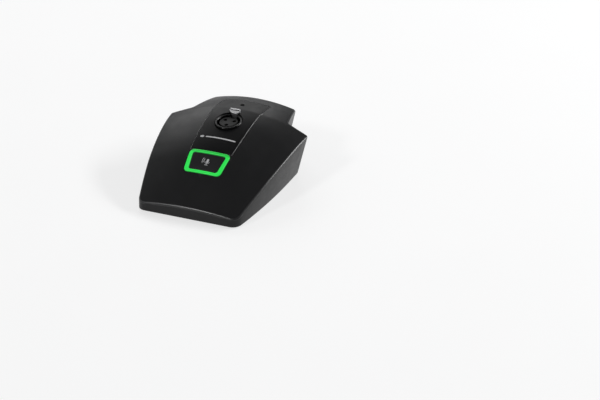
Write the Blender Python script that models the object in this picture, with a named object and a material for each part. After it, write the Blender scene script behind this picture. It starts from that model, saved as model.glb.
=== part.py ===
"""Table-top wireless microphone transmitter: a wedge-shaped talk unit with a microphone socket.

The unit stands on z = 0 and faces -Y. The design is written in millimetres and turned into metres where
meshes are made. Pieces of the talk button, the microphone socket and the rear panel are designed in frames
of their own, whose +Z points out of the unit.
"""
import math

import bmesh
import bpy
from mathutils import Matrix, Vector

MM = 0.001                     # one design unit in metres
GAP = 0.3                      # clearance between neighbouring pieces

# ---- body ----
FRONT_TOP_Y = -69.2            # front edge of the crowned top
FRONT_BASE_Y = -70.6           # front edge at the underside
REAR_TOP_Y = 67.6
REAR_BASE_Y = 70.6
SHOULDER_Y = 33.2              # where the wide shoulders end
REAR_TOP_HALF = 38.9           # half width of the narrow rear block
REAR_BASE_HALF = 27.0
STAR_Y = 3.0                   # the outline is star-shaped about this point on the centre line
WALL = 2.2
ROOF = 2.6
UNDERSIDE_Z = 1.2              # lower edge of the housing, held off the table by the feet
EDGE = 0.6                     # chamfer of the edge between roof and walls
CROWN_PROFILE = [(-72.0, 9.0), (-69.0, 10.8), (-45.0, 25.2), (-22.0, 37.8), (0.0, 46.1),
                 (22.0, 51.5), (34.0, 52.4), (50.0, 51.2), (68.0, 47.7), (72.0, 46.8)]
CROWN_RADIUS = 140.0           # sideways radius of the roof behind CROWN_FLATTENS_Y
CROWN_FLATTENS_Y = -15.0

# ---- centre strip ----
STRIP_FRONT_Y, STRIP_REAR_Y = -20.6, 53.2
STRIP_WIDEST_Y, STRIP_HALF, STRIP_TAPER = 36.0, 21.7, 0.00091
STRIP_THICK = 1.0

# ---- base ----
BASE_TOP_Z = 3.8
RIM_TOP_Z = 5.4
BASE_INSET = WALL + GAP
FOOT_PLACES = [(-38.0, -56.0), (38.0, -56.0), (-42.0, 20.0), (42.0, 20.0)]
FOOT_R = 6.0
HOUSING_SCREWS = [(-42.0, -46.0), (42.0, -46.0), (-46.0, 8.0), (46.0, 8.0)]
BALLAST = (36.0, -55.0, -19.5, 7.2, 9.7)         # half width, front, rear, bottom, top
BALLAST_PILLARS = [(-32.0, -50.0), (32.0, -50.0), (-32.0, -24.0), (32.0, -24.0)]
COIL_Y, COIL_R, COIL_HOLE_R = -34.0, 20.5, 8.0
BATTERY = (19.0, -2.0, 50.0, 4.4, 13.4)
COVER = (22.0, -5.0, 57.5)                       # battery cover: half width, front, rear
COVER_SCREWS = [(-16.0, 54.0), (16.0, 54.0)]

# ---- main board ----
BOARD = (30.0, -21.0, 52.0, 18.0, 19.6)
BOARD_SCREWS = [(-27.0, -15.0), (25.0, 46.0)]
BOARD_PEGS = [(27.0, -15.0), (-25.0, 46.0)]       # locating pegs, no screw
STANDOFFS = BOARD_SCREWS + BOARD_PEGS
ANTENNA = (38.0, 46.0, -20.0, -2.0, 18.0, 19.0)  # x and y ranges, bottom, top
ANTENNA_PILLARS_Y = (-17.0, -5.0)

# ---- talk button frame ----
TALK_Y = -30.6
TALK_TILT = math.radians(29.5)
RING_OUTER = (18.7, 16.5, 11.3, 4.0)             # half widths at rear and front, half height, corner radius
RING_INNER = (15.3, 13.0, 8.5, 2.0)
RING_PROUD, KEY_PROUD = 0.35, 0.15               # how far ring and button stand above the roof
TALK_BOARD_Z = (-12.9, -11.3)

# ---- microphone socket frame ----
SOCKET_Y, SOCKET_Z = 14.5, 50.0
SOCKET_TILT = math.radians(5.0)
SOCKET_RING_R = 11.7
SOCKET_WELL_R = 9.7
INSERT_R = 7.9
CONTACT_CIRCLE_R, CONTACT_R = 4.7, 1.1
TAB = [(2.2, 11.4, 0.6), (5.4, 13.1, 1.0), (4.6, 14.9, 1.2)]   # release tab: half width, place, corner radius
TAB_V = 14.9                                     # origin of the release tab, behind the socket's axis
TAB_FRONT, TAB_TOP = 1.2, 4.2                    # height of the tab's sloping face in front and behind
TAB_CLEARANCE = 0.35
NECK_HALF, NECK_FLOOR = 3.2, -5.8                # gap from the tab's slot into the socket
BRACKET_SCREW_X = 18.0

# ---- rear panel frame ----
REAR_PANEL = (46.0, 24.0, 3.0)                   # width, height, corner radius
REAR_Z = 24.0
POWER_AT, SET_AT, PORT_AT, DISPLAY_AT = (-15.5, -6.0), (15.5, -6.0), (0.0, -6.5), (0.0, 5.0)

STATUS_Y, STATUS_R = 42.0, 1.9


# ------------------------------------------------------------------ surfaces and outlines
def smooth_profile(points, t):
    """Cubic through the points with slopes weighted from the neighbouring spans."""
    spans = [(b[1] - a[1]) / (b[0] - a[0]) for a, b in zip(points, points[1:])]
    slopes = [spans[0]]
    for i in range(1, len(points) - 1):
        before = points[i][0] - points[i - 1][0]
        after = points[i + 1][0] - points[i][0]
        slopes.append((spans[i - 1] * after + spans[i] * before) / (before + after))
    slopes.append(spans[-1])
    t = min(max(t, points[0][0]), points[-1][0])
    i = max(k for k in range(len(points) - 1) if points[k][0] <= t)
    (x0, y0), (x1, y1) = points[i], points[i + 1]
    h = x1 - x0
    s = (t - x0) / h
    return ((1 + 2 * s) * (1 - s) ** 2 * y0 + s * (1 - s) ** 2 * h * slopes[i]
            + s * s * (3 - 2 * s) * y1 + s * s * (s - 1) * h * slopes[i + 1])


def crown(x, y):
    """Height of the roof's outer surface."""
    flat = max(0.0, CROWN_FLATTENS_Y - y) / 50.0
    curvature = 1.0 / CROWN_RADIUS - 0.0033 * flat ** 1.4
    return smooth_profile(CROWN_PROFILE, y) - 0.5 * x * x * max(curvature, 0.0)


def crown_slope(x, y):
    """Length of the roof's normal for a unit of height."""
    gx = crown(x + 0.5, y) - crown(x - 0.5, y)
    gy = crown(x, y + 0.5) - crown(x, y - 0.5)
    return math.sqrt(1.0 + gx * gx + gy * gy)


def top_half(y):
    """Half width of the roof's edge."""
    return 58.5 + 0.1925 * (y + 15.0) - 0.001125 * (y + 15.0) ** 2


def base_half(y):
    """Half width of the walls at the underside."""
    return 52.6 + 0.075 * (y + 15.0) - 0.001 * (y + 15.0) ** 2


def rounded(corners):
    """Polygon with rounded corners, each given as (x, y, radius, number of points).

    A negative radius marks a hollow corner, whose radius grows when the outline moves inwards.
    """
    points = []
    for i, (x, y, radius, count) in enumerate(corners):
        here = Vector((x, y))
        if radius == 0:
            points.append(here)
            continue
        radius = abs(radius)
        before = (Vector(corners[i - 1][:2]) - here).normalized()
        after = (Vector(corners[(i + 1) % len(corners)][:2]) - here).normalized()
        half_angle = before.angle(after) / 2
        centre = here + (before + after).normalized() * (radius / math.sin(half_angle))
        first = here + before * (radius / math.tan(half_angle)) - centre
        last = here + after * (radius / math.tan(half_angle)) - centre
        turn = first.angle_signed(last)
        for k in range(count):
            angle = -turn * k / (count - 1)
            points.append(centre + Matrix.Rotation(angle, 2) @ first)
    return points


def inset(outline, amount):
    """Outline moved inwards by `amount`, point by point (negative moves outwards)."""
    moved = []
    for i, here in enumerate(outline):
        a = (here - outline[i - 1]).normalized()
        b = (outline[(i + 1) % len(outline)] - here).normalized()
        inward = Vector((-a.y - b.y, a.x + b.x))
        scale = 2.0 / max(inward.length_squared, 0.5)
        moved.append(here + inward * amount * scale)
    return moved


def body_outline(front_y, half, shoulder_x, inner, rear_half, rear_y, inward):
    """Whole outline of the body, anticlockwise, moved inwards; `half` gives the side's half width at y."""
    right = [(22.0, front_y, 0, 1), (half(front_y), front_y, 8.0, 5)]
    right += [(half(y), y, 0, 1) for y in (-50.0, -30.0, -10.0, 10.0)]
    right += [(shoulder_x, SHOULDER_Y, 2.5, 3), (inner[0], inner[1], -2.5, 3),
              (rear_half, rear_y, 4.0, 4), (15.0, rear_y, 0, 1)]
    whole = right + [(-x, y, r, n) for x, y, r, n in reversed(right)]
    moved = inset([Vector(corner[:2]) for corner in whole], inward)
    corners = []
    for place, (_, _, radius, count) in zip(moved, whole):
        if radius > 0:
            radius = max(radius - inward, 0.5)
        elif radius < 0:
            radius = inward - radius
        corners.append((place.x, place.y, radius, count))
    return rounded(corners)


def roof_outline(inward=0.0):
    """Edge between roof and walls."""
    return body_outline(FRONT_TOP_Y, top_half, 64.7, (45.7, 37.0), REAR_TOP_HALF, REAR_TOP_Y, inward)


def base_outline(inward=0.0):
    """Lower edge of the walls."""
    return body_outline(FRONT_BASE_Y, base_half, 54.2, (35.0, 38.0), REAR_BASE_HALF, REAR_BASE_Y, inward)


def shrunk(outline, scale):
    """Body outline scaled about the point that it is star-shaped about."""
    middle = Vector((0.0, STAR_Y))
    return [middle + (p - middle) * scale for p in outline]


def rectangle(width, height, radius, centre=(0.0, 0.0), count=4):
    """Rounded rectangle."""
    w, h = width / 2, height / 2
    places = [(-w, -h), (w, -h), (w, h), (-w, h)]
    return rounded([(centre[0] + x, centre[1] + y, radius, count) for x, y in places])


def trapezoid(shape, grow=0.0):
    """Rounded trapezoid of the talk button, grown on all sides."""
    rear, front, height, radius = shape
    rear, front, height = rear + grow, front + grow, height + grow
    places = [(-front, -height), (front, -height), (rear, height), (-rear, height)]
    return rounded([(x, y, max(radius + grow, 0.5), 5) for x, y in places])


def circle(radius, centre=(0.0, 0.0), count=24):
    """Circle as a polygon."""
    turns = [2 * math.pi * k / count for k in range(count)]
    return [Vector((centre[0] + radius * math.cos(t), centre[1] + radius * math.sin(t))) for t in turns]


# ------------------------------------------------------------------ frames
def tilted_frame(name, y, z, tilt):
    """Frame on the centre line whose +Z leans towards the front by `tilt`."""
    frame = bpy.data.objects.new(name, None)
    bpy.context.scene.collection.objects.link(frame)
    frame.location = (0.0, y * MM, z * MM)
    frame.rotation_euler = (tilt, 0.0, 0.0)
    return frame


def rear_wall_angle():
    """Lean of the rear wall from the vertical."""
    return math.atan2(REAR_BASE_Y - REAR_TOP_Y, crown(0, REAR_TOP_Y) - UNDERSIDE_Z)


def rear_frame():
    """Frame on the rear wall: +Z out of the unit, +Y up, +X towards the unit's left."""
    frame = bpy.data.objects.new("rear_frame", None)
    bpy.context.scene.collection.objects.link(frame)
    lean = rear_wall_angle()
    y = REAR_BASE_Y - (REAR_Z - UNDERSIDE_Z) * math.tan(lean)
    frame.location = (0.0, y * MM, REAR_Z * MM)
    frame.rotation_euler = (math.pi / 2 - lean, 0.0, math.pi)
    return frame


def talk_surface(u, v):
    """Height of the roof over the talk frame's own plane."""
    h = 0.0
    cos, sin = math.cos(TALK_TILT), math.sin(TALK_TILT)
    origin_z = crown(0, TALK_Y)
    for _ in range(8):
        miss = origin_z + v * sin + h * cos - crown(u, TALK_Y + v * cos - h * sin)
        h -= miss * cos
    return h


# ------------------------------------------------------------------ mesh helpers
def material(name, colour, roughness, metallic=0.0):
    """Principled material of one part."""
    made = bpy.data.materials.new(name)
    made.use_nodes = True
    shader = made.node_tree.nodes["Principled BSDF"]
    shader.inputs["Base Color"].default_value = (*colour, 1.0)
    shader.inputs["Roughness"].default_value = roughness
    shader.inputs["Metallic"].default_value = metallic
    return made


def ring3(outline, height):
    """Outline lifted to a height, which is a number or a function of (x, y)."""
    level = height if callable(height) else (lambda x, y: height)
    return [Vector((p.x, p.y, level(p.x, p.y))) for p in outline]


def loft(mesh, rings, closed=False):
    """Skin through rings of equal count; the ends are capped, or joined if `closed`."""
    rows = [[mesh.verts.new(p * MM) for p in ring] for ring in rings]
    pairs = list(zip(rows, rows[1:]))
    if closed:
        pairs.append((rows[-1], rows[0]))
    count = len(rows[0])
    for low, high in pairs:
        for i in range(count):
            j = (i + 1) % count
            mesh.faces.new((low[i], low[j], high[j], high[i]))
    if not closed:
        mesh.faces.new(rows[0])
        mesh.faces.new(rows[-1])


def prism(mesh, outline, low, high):
    """Outline pulled from one height to another; either may be a function of (x, y)."""
    loft(mesh, [ring3(outline, low), ring3(outline, high)])


def cylinder(mesh, radius, low, high, centre=(0.0, 0.0), count=24):
    """Upright round bar."""
    prism(mesh, circle(radius, centre, count), low, high)


def tube(mesh, outer, inner, low, high):
    """Upright tube between two outlines of equal count."""
    loft(mesh, [ring3(outer, low), ring3(outer, high), ring3(inner, high), ring3(inner, low)], closed=True)


def box(mesh, x, y, z):
    """Box from ranges along the three axes."""
    corners = [Vector((x[0], y[0])), Vector((x[1], y[0])), Vector((x[1], y[1])), Vector((x[0], y[1]))]
    prism(mesh, corners, z[0], z[1])


def turned(mesh, profile, centre=(0.0, 0.0), count=28):
    """Solid of revolution about the upright line through `centre`; the profile is a closed (r, z) loop."""
    loft(mesh, [ring3(circle(r, centre, count), z) for r, z in profile], closed=True)


def coil_spring(mesh, centre, radius, wire, low, high, turns=4, sides=4, steps=8):
    """Round wire wound in a helix."""
    rings = []
    total = turns * steps
    for k in range(total + 1):
        angle = 2 * math.pi * k / steps
        out = Vector((math.cos(angle), math.sin(angle), 0.0))
        climb = (high - low - 2 * wire) * k / total
        middle = Vector((centre[0], centre[1], low + wire + climb)) + out * radius
        turn = [2 * math.pi * s / sides for s in range(sides)]
        rings.append([middle + out * wire * math.cos(t) + Vector((0, 0, wire * math.sin(t))) for t in turn])
    loft(mesh, rings)


def wire_run(mesh, points, radius, sides=6, steps=10):
    """Insulated wire along a smooth curve through the points."""
    knots = [(float(i), Vector(p)) for i, p in enumerate(points)]
    route = []
    for k in range(steps + 1):
        t = (len(knots) - 1) * k / steps
        place = [smooth_profile([(i, p[axis]) for i, p in knots], t) for axis in range(3)]
        route.append(Vector(place))
    rings = []
    for i, here in enumerate(route):
        along = (route[min(i + 1, steps)] - route[max(i - 1, 0)]).normalized()
        side = along.cross(Vector((0.31, 0.87, 0.38))).normalized()
        up = along.cross(side)
        turn = [2 * math.pi * s / sides for s in range(sides)]
        rings.append([here + side * radius * math.cos(t) + up * radius * math.sin(t) for t in turn])
    loft(mesh, rings)


def part(name, build, look=None, frame=None, origin=(0.0, 0.0, 0.0)):
    """Object whose mesh `build` fills; `origin` is its place in the frame, in design units."""
    mesh = bmesh.new()
    build(mesh)
    bmesh.ops.translate(mesh, vec=-Vector(origin) * MM, verts=mesh.verts)
    bmesh.ops.recalc_face_normals(mesh, faces=mesh.faces)
    data = bpy.data.meshes.new(name)
    mesh.to_mesh(data)
    mesh.free()
    made = bpy.data.objects.new(name, data)
    bpy.context.scene.collection.objects.link(made)
    made.location = Vector(origin) * MM
    if frame is not None:
        made.parent = frame
    if look is not None:
        data.materials.append(look)
        data.shade_smooth()
        data.set_sharp_from_angle(angle=math.radians(32))
    return made


def boolean(target, name, build, frame=None, operation="DIFFERENCE"):
    """Cut a shape out of `target`, or join it on."""
    tool = part(name, build, frame=frame)
    tool.hide_render = True
    tool.display_type = "WIRE"
    modifier = target.modifiers.new(name, "BOOLEAN")
    modifier.operation = operation
    modifier.solver = "EXACT"
    modifier.object = tool


# ------------------------------------------------------------------ housing
def strip_patch(mesh, low, high, grow=0.0, front=STRIP_FRONT_Y, columns=12):
    """Slab between two offsets from the roof, with the centre strip's outline grown by `grow`."""
    first, last = front - grow, STRIP_REAR_Y + grow
    stations = [(first + (last - 1.5 - first) * k / 12, 0.0) for k in range(13)]
    stations += [(last - 0.5, 0.5), (last, 1.5)]
    sections = []
    for y, tucked in stations:
        half = STRIP_HALF + grow - tucked - STRIP_TAPER * (y - STRIP_WIDEST_Y) ** 2
        xs = [half * (2.0 * k / columns - 1.0) for k in range(columns + 1)]
        below = [Vector((x, y, crown(x, y) + low * crown_slope(x, y))) for x in xs]
        above = [Vector((x, y, crown(x, y) + high * crown_slope(x, y))) for x in reversed(xs)]
        sections.append(below + above)
    loft(mesh, sections)


def tab_outline(grow=0.0):
    """Release tab from above: narrow in front, widest behind its middle."""
    corners = [(x, v, r) for x, v, r in TAB] + [(-x, v, r) for x, v, r in reversed(TAB)]
    places = inset([Vector(corner[:2]) for corner in corners], -grow)
    return rounded([(p.x, p.y, corner[2], 3) for p, corner in zip(places, corners)])


def neck(mesh, low, high):
    """Gap between the tab's slot and the socket's well."""
    box(mesh, (-NECK_HALF, NECK_HALF), (SOCKET_WELL_R - 1.5, TAB[0][1] + 0.8), (low, high))


def cut_release_slot(target, socket):
    """Slot for the release tab, open into the socket's hole."""
    boolean(target, "release_slot_cut",
            lambda mesh: prism(mesh, tab_outline(TAB_CLEARANCE), -12.0, 9.0), socket)
    boolean(target, "release_neck_cut", lambda mesh: neck(mesh, -12.0, 9.0), socket)


def make_top_shell(talk, socket, rear):
    """Crowned roof and flared walls in one moulding, open below, with screw posts."""
    roof = roof_outline()
    inner_roof = roof_outline(WALL + 0.3)
    scales = [0.86, 0.68, 0.5, 0.32, 0.12]

    def ceiling(x, y):
        return crown(x, y) - ROOF * crown_slope(x, y)

    def build(mesh):
        rings = [ring3(shrunk(roof, s), crown) for s in reversed(scales)]
        rings.append(ring3(roof_outline(EDGE), crown))
        rings.append(ring3(roof, lambda x, y: crown(x, y) - EDGE))
        rings.append(ring3(base_outline(), UNDERSIDE_Z))
        rings.append(ring3(base_outline(WALL), UNDERSIDE_Z))
        rings.append(ring3(inner_roof, ceiling))
        rings += [ring3(shrunk(inner_roof, s), ceiling) for s in scales]
        loft(mesh, rings)

    shell = part("top_shell", build, material("shell_plastic", (0.022, 0.022, 0.024), 0.5))

    def posts(mesh):
        for x, y in HOUSING_SCREWS:
            cylinder(mesh, 3.4, BASE_TOP_Z + 2.0, lambda px, py: crown(px, py) - 1.5, (x, y), 12)

    boolean(shell, "screw_posts_join", posts, operation="UNION")

    def bracket_posts(mesh):
        for x in (-BRACKET_SCREW_X, BRACKET_SCREW_X):
            cylinder(mesh, 2.6, -10.0, -3.0, (x, 0.0), 12)

    boolean(shell, "bracket_posts_join", bracket_posts, socket, "UNION")

    def post_bores(mesh):
        for x, y in HOUSING_SCREWS:
            cylinder(mesh, 1.5, 0.0, 14.3, (x, y), 10)

    boolean(shell, "post_bores_cut", post_bores)

    def bracket_bores(mesh):
        for x in (-BRACKET_SCREW_X, BRACKET_SCREW_X):
            cylinder(mesh, 1.3, -12.0, -5.2, (x, 0.0), 10)

    boolean(shell, "bracket_bores_cut", bracket_bores, socket)
    pocket_floor = -(STRIP_THICK + GAP)
    boolean(shell, "strip_pocket_cut",
            lambda mesh: strip_patch(mesh, pocket_floor, 3.0, GAP, STRIP_FRONT_Y - 2.0))
    boolean(shell, "talk_hole_cut",
            lambda mesh: prism(mesh, trapezoid(RING_OUTER, GAP), -9.0, 4.0), talk)
    boolean(shell, "socket_hole_cut",
            lambda mesh: cylinder(mesh, SOCKET_RING_R + GAP, -11.0, 9.0, count=28), socket)
    cut_release_slot(shell, socket)
    boolean(shell, "status_hole_cut",
            lambda mesh: cylinder(mesh, STATUS_R + GAP, 44.0, 56.0, (0.0, STATUS_Y), 16))
    width, height, radius = REAR_PANEL
    boolean(shell, "rear_opening_cut",
            lambda mesh: prism(mesh, rectangle(width + 2 * GAP, height + 2 * GAP, radius + GAP), -8.0, 4.0),
            rear)


def make_centre_strip(talk, socket):
    """Smooth trim panel let into the roof, from the light ring to the rear."""
    strip = part("centre_strip", lambda mesh: strip_patch(mesh, -STRIP_THICK, 0.0),
                 material("strip_plastic", (0.02, 0.02, 0.021), 0.35))
    boolean(strip, "strip_ring_cut",
            lambda mesh: prism(mesh, trapezoid(RING_OUTER, GAP), -9.0, 4.0), talk)
    boolean(strip, "strip_socket_cut",
            lambda mesh: cylinder(mesh, SOCKET_RING_R + GAP, -11.0, 9.0, count=28), socket)
    cut_release_slot(strip, socket)
    boolean(strip, "strip_status_cut",
            lambda mesh: cylinder(mesh, STATUS_R + GAP, 44.0, 56.0, (0.0, STATUS_Y), 16))


def make_base_shell():
    """Bottom cover: plate with a low rim, bosses, pillars and the battery opening."""
    plate, plate_top = base_outline(BASE_INSET), base_outline(BASE_INSET + 0.7)
    rim = (base_outline(BASE_INSET + 1.6), base_outline(BASE_INSET + 3.0))

    def build(mesh):
        lip = [ring3(plate, UNDERSIDE_Z), ring3(plate_top, BASE_TOP_Z), ring3(rim[0], BASE_TOP_Z),
               ring3(rim[0], RIM_TOP_Z), ring3(rim[1], RIM_TOP_Z), ring3(rim[1], BASE_TOP_Z)]
        loft(mesh, lip)

    base = part("base_shell", build, material("base_plastic", (0.02, 0.02, 0.021), 0.6))
    half, front, rear = COVER
    grown = ((-half - GAP, half + GAP), (front - GAP, rear + GAP))
    boolean(base, "cover_recess_cut", lambda mesh: box(mesh, *grown, (0.0, 2.9)))
    inner = ((-BATTERY[0] - GAP, BATTERY[0] + GAP), (BATTERY[1] - GAP, BATTERY[2] + GAP))
    boolean(base, "battery_opening_cut", lambda mesh: box(mesh, *inner, (0.0, 6.0)))

    def bosses(mesh):
        for x, y in HOUSING_SCREWS:
            cylinder(mesh, 4.2, BASE_TOP_Z - 1.0, BASE_TOP_Z + 1.7, (x, y), 10)
        for x, y in BALLAST_PILLARS:
            cylinder(mesh, 2.6, BASE_TOP_Z - 1.0, BALLAST[3] - GAP, (x, y), 8)
        for x, y in STANDOFFS:
            cylinder(mesh, 2.8, BASE_TOP_Z - 1.0, BOARD[3] - GAP, (x, y), 10)
        for x, y in BOARD_PEGS:
            cylinder(mesh, 0.9, BOARD[3] - 2.0, BOARD[4] + 0.5, (x, y), 10)
        for x, y in COVER_SCREWS:
            cylinder(mesh, 2.8, BASE_TOP_Z - 1.0, 9.0, (x, y), 10)
        for side in (-1, 1):
            for y in ANTENNA_PILLARS_Y:
                cylinder(mesh, 2.2, BASE_TOP_Z - 1.0, ANTENNA[4] - GAP, (side * 42.0, y), 8)

    boolean(base, "base_bosses_join", bosses, operation="UNION")

    def holes(mesh):
        for x, y in HOUSING_SCREWS:
            cylinder(mesh, 3.2, 0.0, 3.0, (x, y), 16)

    boolean(base, "screw_recess_cut", holes)

    def bores(mesh):
        for x, y in HOUSING_SCREWS:
            cylinder(mesh, 1.5, 2.0, 8.0, (x, y), 10)
        for x, y in BOARD_SCREWS:
            cylinder(mesh, 1.2, 9.0, 20.0, (x, y), 10)
        for x, y in COVER_SCREWS:
            cylinder(mesh, 1.2, 0.0, 8.0, (x, y), 10)

    boolean(base, "bores_cut", bores)

    def foot_recesses(mesh):
        for place in FOOT_PLACES:
            cylinder(mesh, FOOT_R + GAP, 0.0, UNDERSIDE_Z + 0.8, place, 20)

    boolean(base, "foot_recess_cut", foot_recesses)


def make_feet():
    """Four rubber feet."""
    rubber = material("foot_rubber", (0.03, 0.03, 0.03), 0.85)
    for index, place in enumerate(FOOT_PLACES):
        def build(mesh, place=place):
            low = circle(FOOT_R - 0.4, place, 20)
            full = circle(FOOT_R, place, 20)
            loft(mesh, [ring3(low, 0.0), ring3(full, 0.4), ring3(full, UNDERSIDE_Z + 0.5)])
        part(f"rubber_foot_{index + 1}", build, rubber)


def make_screw(name, look, place, head_r, head, shank_r, tip, frame=None):
    """Screw: `head` is the head's height range, and the shank ends at `tip`, above or below the head."""
    low, high = head
    if tip > high:
        sizes = [(head_r - 0.3, low), (head_r, low + 0.3), (head_r, high), (shank_r, high)]
    else:
        sizes = [(head_r - 0.3, high), (head_r, high - 0.3), (head_r, low), (shank_r, low)]
    sizes.append((shank_r, tip))
    part(name, lambda mesh: loft(mesh, [ring3(circle(r, place, 14), z) for r, z in sizes]), look, frame)


def make_screws(socket):
    """All fasteners."""
    steel = material("screw_steel", (0.35, 0.35, 0.36), 0.35, 1.0)
    for index, place in enumerate(HOUSING_SCREWS):
        make_screw(f"housing_screw_{index + 1}", steel, place, 2.9, (1.3, 2.7), 1.2, 13.5)
    for index, place in enumerate(COVER_SCREWS):
        make_screw(f"battery_cover_screw_{index + 1}", steel, place, 2.2, (1.35, 2.0), 0.9, 7.3)
    for index, place in enumerate(BOARD_SCREWS):
        make_screw(f"board_screw_{index + 1}", steel, place, 2.2, (BOARD[4] + GAP, BOARD[4] + 1.8), 0.9, 11.0)
    for index, x in enumerate((-BRACKET_SCREW_X, BRACKET_SCREW_X)):
        make_screw(f"bracket_screw_{index + 1}", steel, (x, 0.0), 2.3, (-13.9, -12.3), 1.0, -6.0, socket)


# ------------------------------------------------------------------ power and boards
def make_battery():
    """Battery pack, its cover in the underside and its contact blades."""
    half, front, rear, low, high = BATTERY
    block_outline = rectangle(2 * half, rear - front, 3.0, (0.0, (front + rear) / 2))
    part("battery_pack", lambda mesh: prism(mesh, block_outline, low, high),
         material("battery_wrap", (0.05, 0.09, 0.2), 0.4))

    gold = material("contact_gold", (0.8, 0.6, 0.25), 0.3, 1.0)
    block = part("battery_contacts", lambda mesh: box(mesh, (-10.0, 10.0), (front - 4.0, front - 1.4),
                                                      (11.0, BOARD[3] - GAP)), gold)

    def blades(mesh):
        for x in (-7.0, 0.0, 7.0):
            box(mesh, (x - 1.5, x + 1.5), (front - 2.0, front - 0.4), (7.0, 13.0))
    boolean(block, "contact_blades_join", blades, operation="UNION")

    half, front, rear = COVER
    cover = part("battery_cover",
                 lambda mesh: box(mesh, (-half, half), (front, rear), (UNDERSIDE_Z, 2.6)),
                 material("cover_plastic", (0.02, 0.02, 0.021), 0.6))

    def holes(mesh):
        for place in COVER_SCREWS:
            cylinder(mesh, 2.5, 0.0, 2.2, place, 14)
    boolean(cover, "cover_counterbores_cut", holes)

    def bores(mesh):
        for place in COVER_SCREWS:
            cylinder(mesh, 1.2, 1.8, 4.0, place, 10)
    boolean(cover, "cover_bores_cut", bores)


def make_charging():
    """Wireless charging coil, its ferrite sheet, its leads and the steel ballast above."""
    centre = (0.0, COIL_Y)
    part("charging_coil",
         lambda mesh: tube(mesh, circle(COIL_R, centre, 32), circle(COIL_HOLE_R, centre, 32), 4.2, 5.4),
         material("coil_copper", (0.72, 0.36, 0.18), 0.35, 1.0))
    part("ferrite_sheet", lambda mesh: cylinder(mesh, COIL_R + 2.0, 5.7, 6.6, centre, 32),
         material("ferrite", (0.05, 0.05, 0.055), 0.7))
    half, front, rear, low, high = BALLAST
    plate_outline = rectangle(2 * half, rear - front, 4.0, (0.0, (front + rear) / 2))
    part("ballast_plate", lambda mesh: prism(mesh, plate_outline, low, high),
         material("ballast_steel", (0.3, 0.3, 0.31), 0.45, 1.0))

    part("coil_lead",
         lambda mesh: wire_run(mesh, [(14.0, -14.6, 4.9), (14.0, -10.0, 6.0), (14.0, -8.0, 10.0),
                                      (14.0, -7.5, BOARD[3] - 0.4)], 0.9),
         material("lead_enamel", (0.6, 0.1, 0.05), 0.4))


def make_main_board():
    """Main circuit board with its shielding cans, and the two antennas."""
    half, front, rear, low, high = BOARD
    board = part("main_board",
                 lambda mesh: prism(mesh, rectangle(2 * half, rear - front, 2.0, (0.0, (front + rear) / 2)),
                                    low, high),
                 material("board_green", (0.02, 0.12, 0.06), 0.45))

    def holes(mesh):
        for place in STANDOFFS:
            cylinder(mesh, 1.2, low - 1.0, high + 1.0, place, 10)
    boolean(board, "board_holes_cut", holes)

    def can(x, y, top):
        def build(mesh):
            outer = rectangle(x[1] - x[0], y[1] - y[0], 0.8, ((x[0] + x[1]) / 2, (y[0] + y[1]) / 2), 3)
            inner = inset(outer, 0.4)
            loft(mesh, [ring3(inner, top - 0.4), ring3(inner, high + GAP), ring3(outer, high + GAP),
                        ring3(outer, top)])
        return build

    tin = material("shield_tin", (0.65, 0.66, 0.66), 0.3, 1.0)
    part("rf_shield", can((-27.0, -8.0), (-9.0, 8.0), 22.8), tin)
    part("charger_shield", can((9.0, 26.0), (22.0, 38.0), 22.4), tin)

    antenna = material("antenna_board", (0.03, 0.1, 0.2), 0.45)
    for name, side in (("antenna_left", -1), ("antenna_right", 1)):
        xs = sorted((side * ANTENNA[0], side * ANTENNA[1]))
        part(name, lambda mesh, xs=xs: box(mesh, xs, ANTENNA[2:4], ANTENNA[4:6]), antenna)


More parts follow.
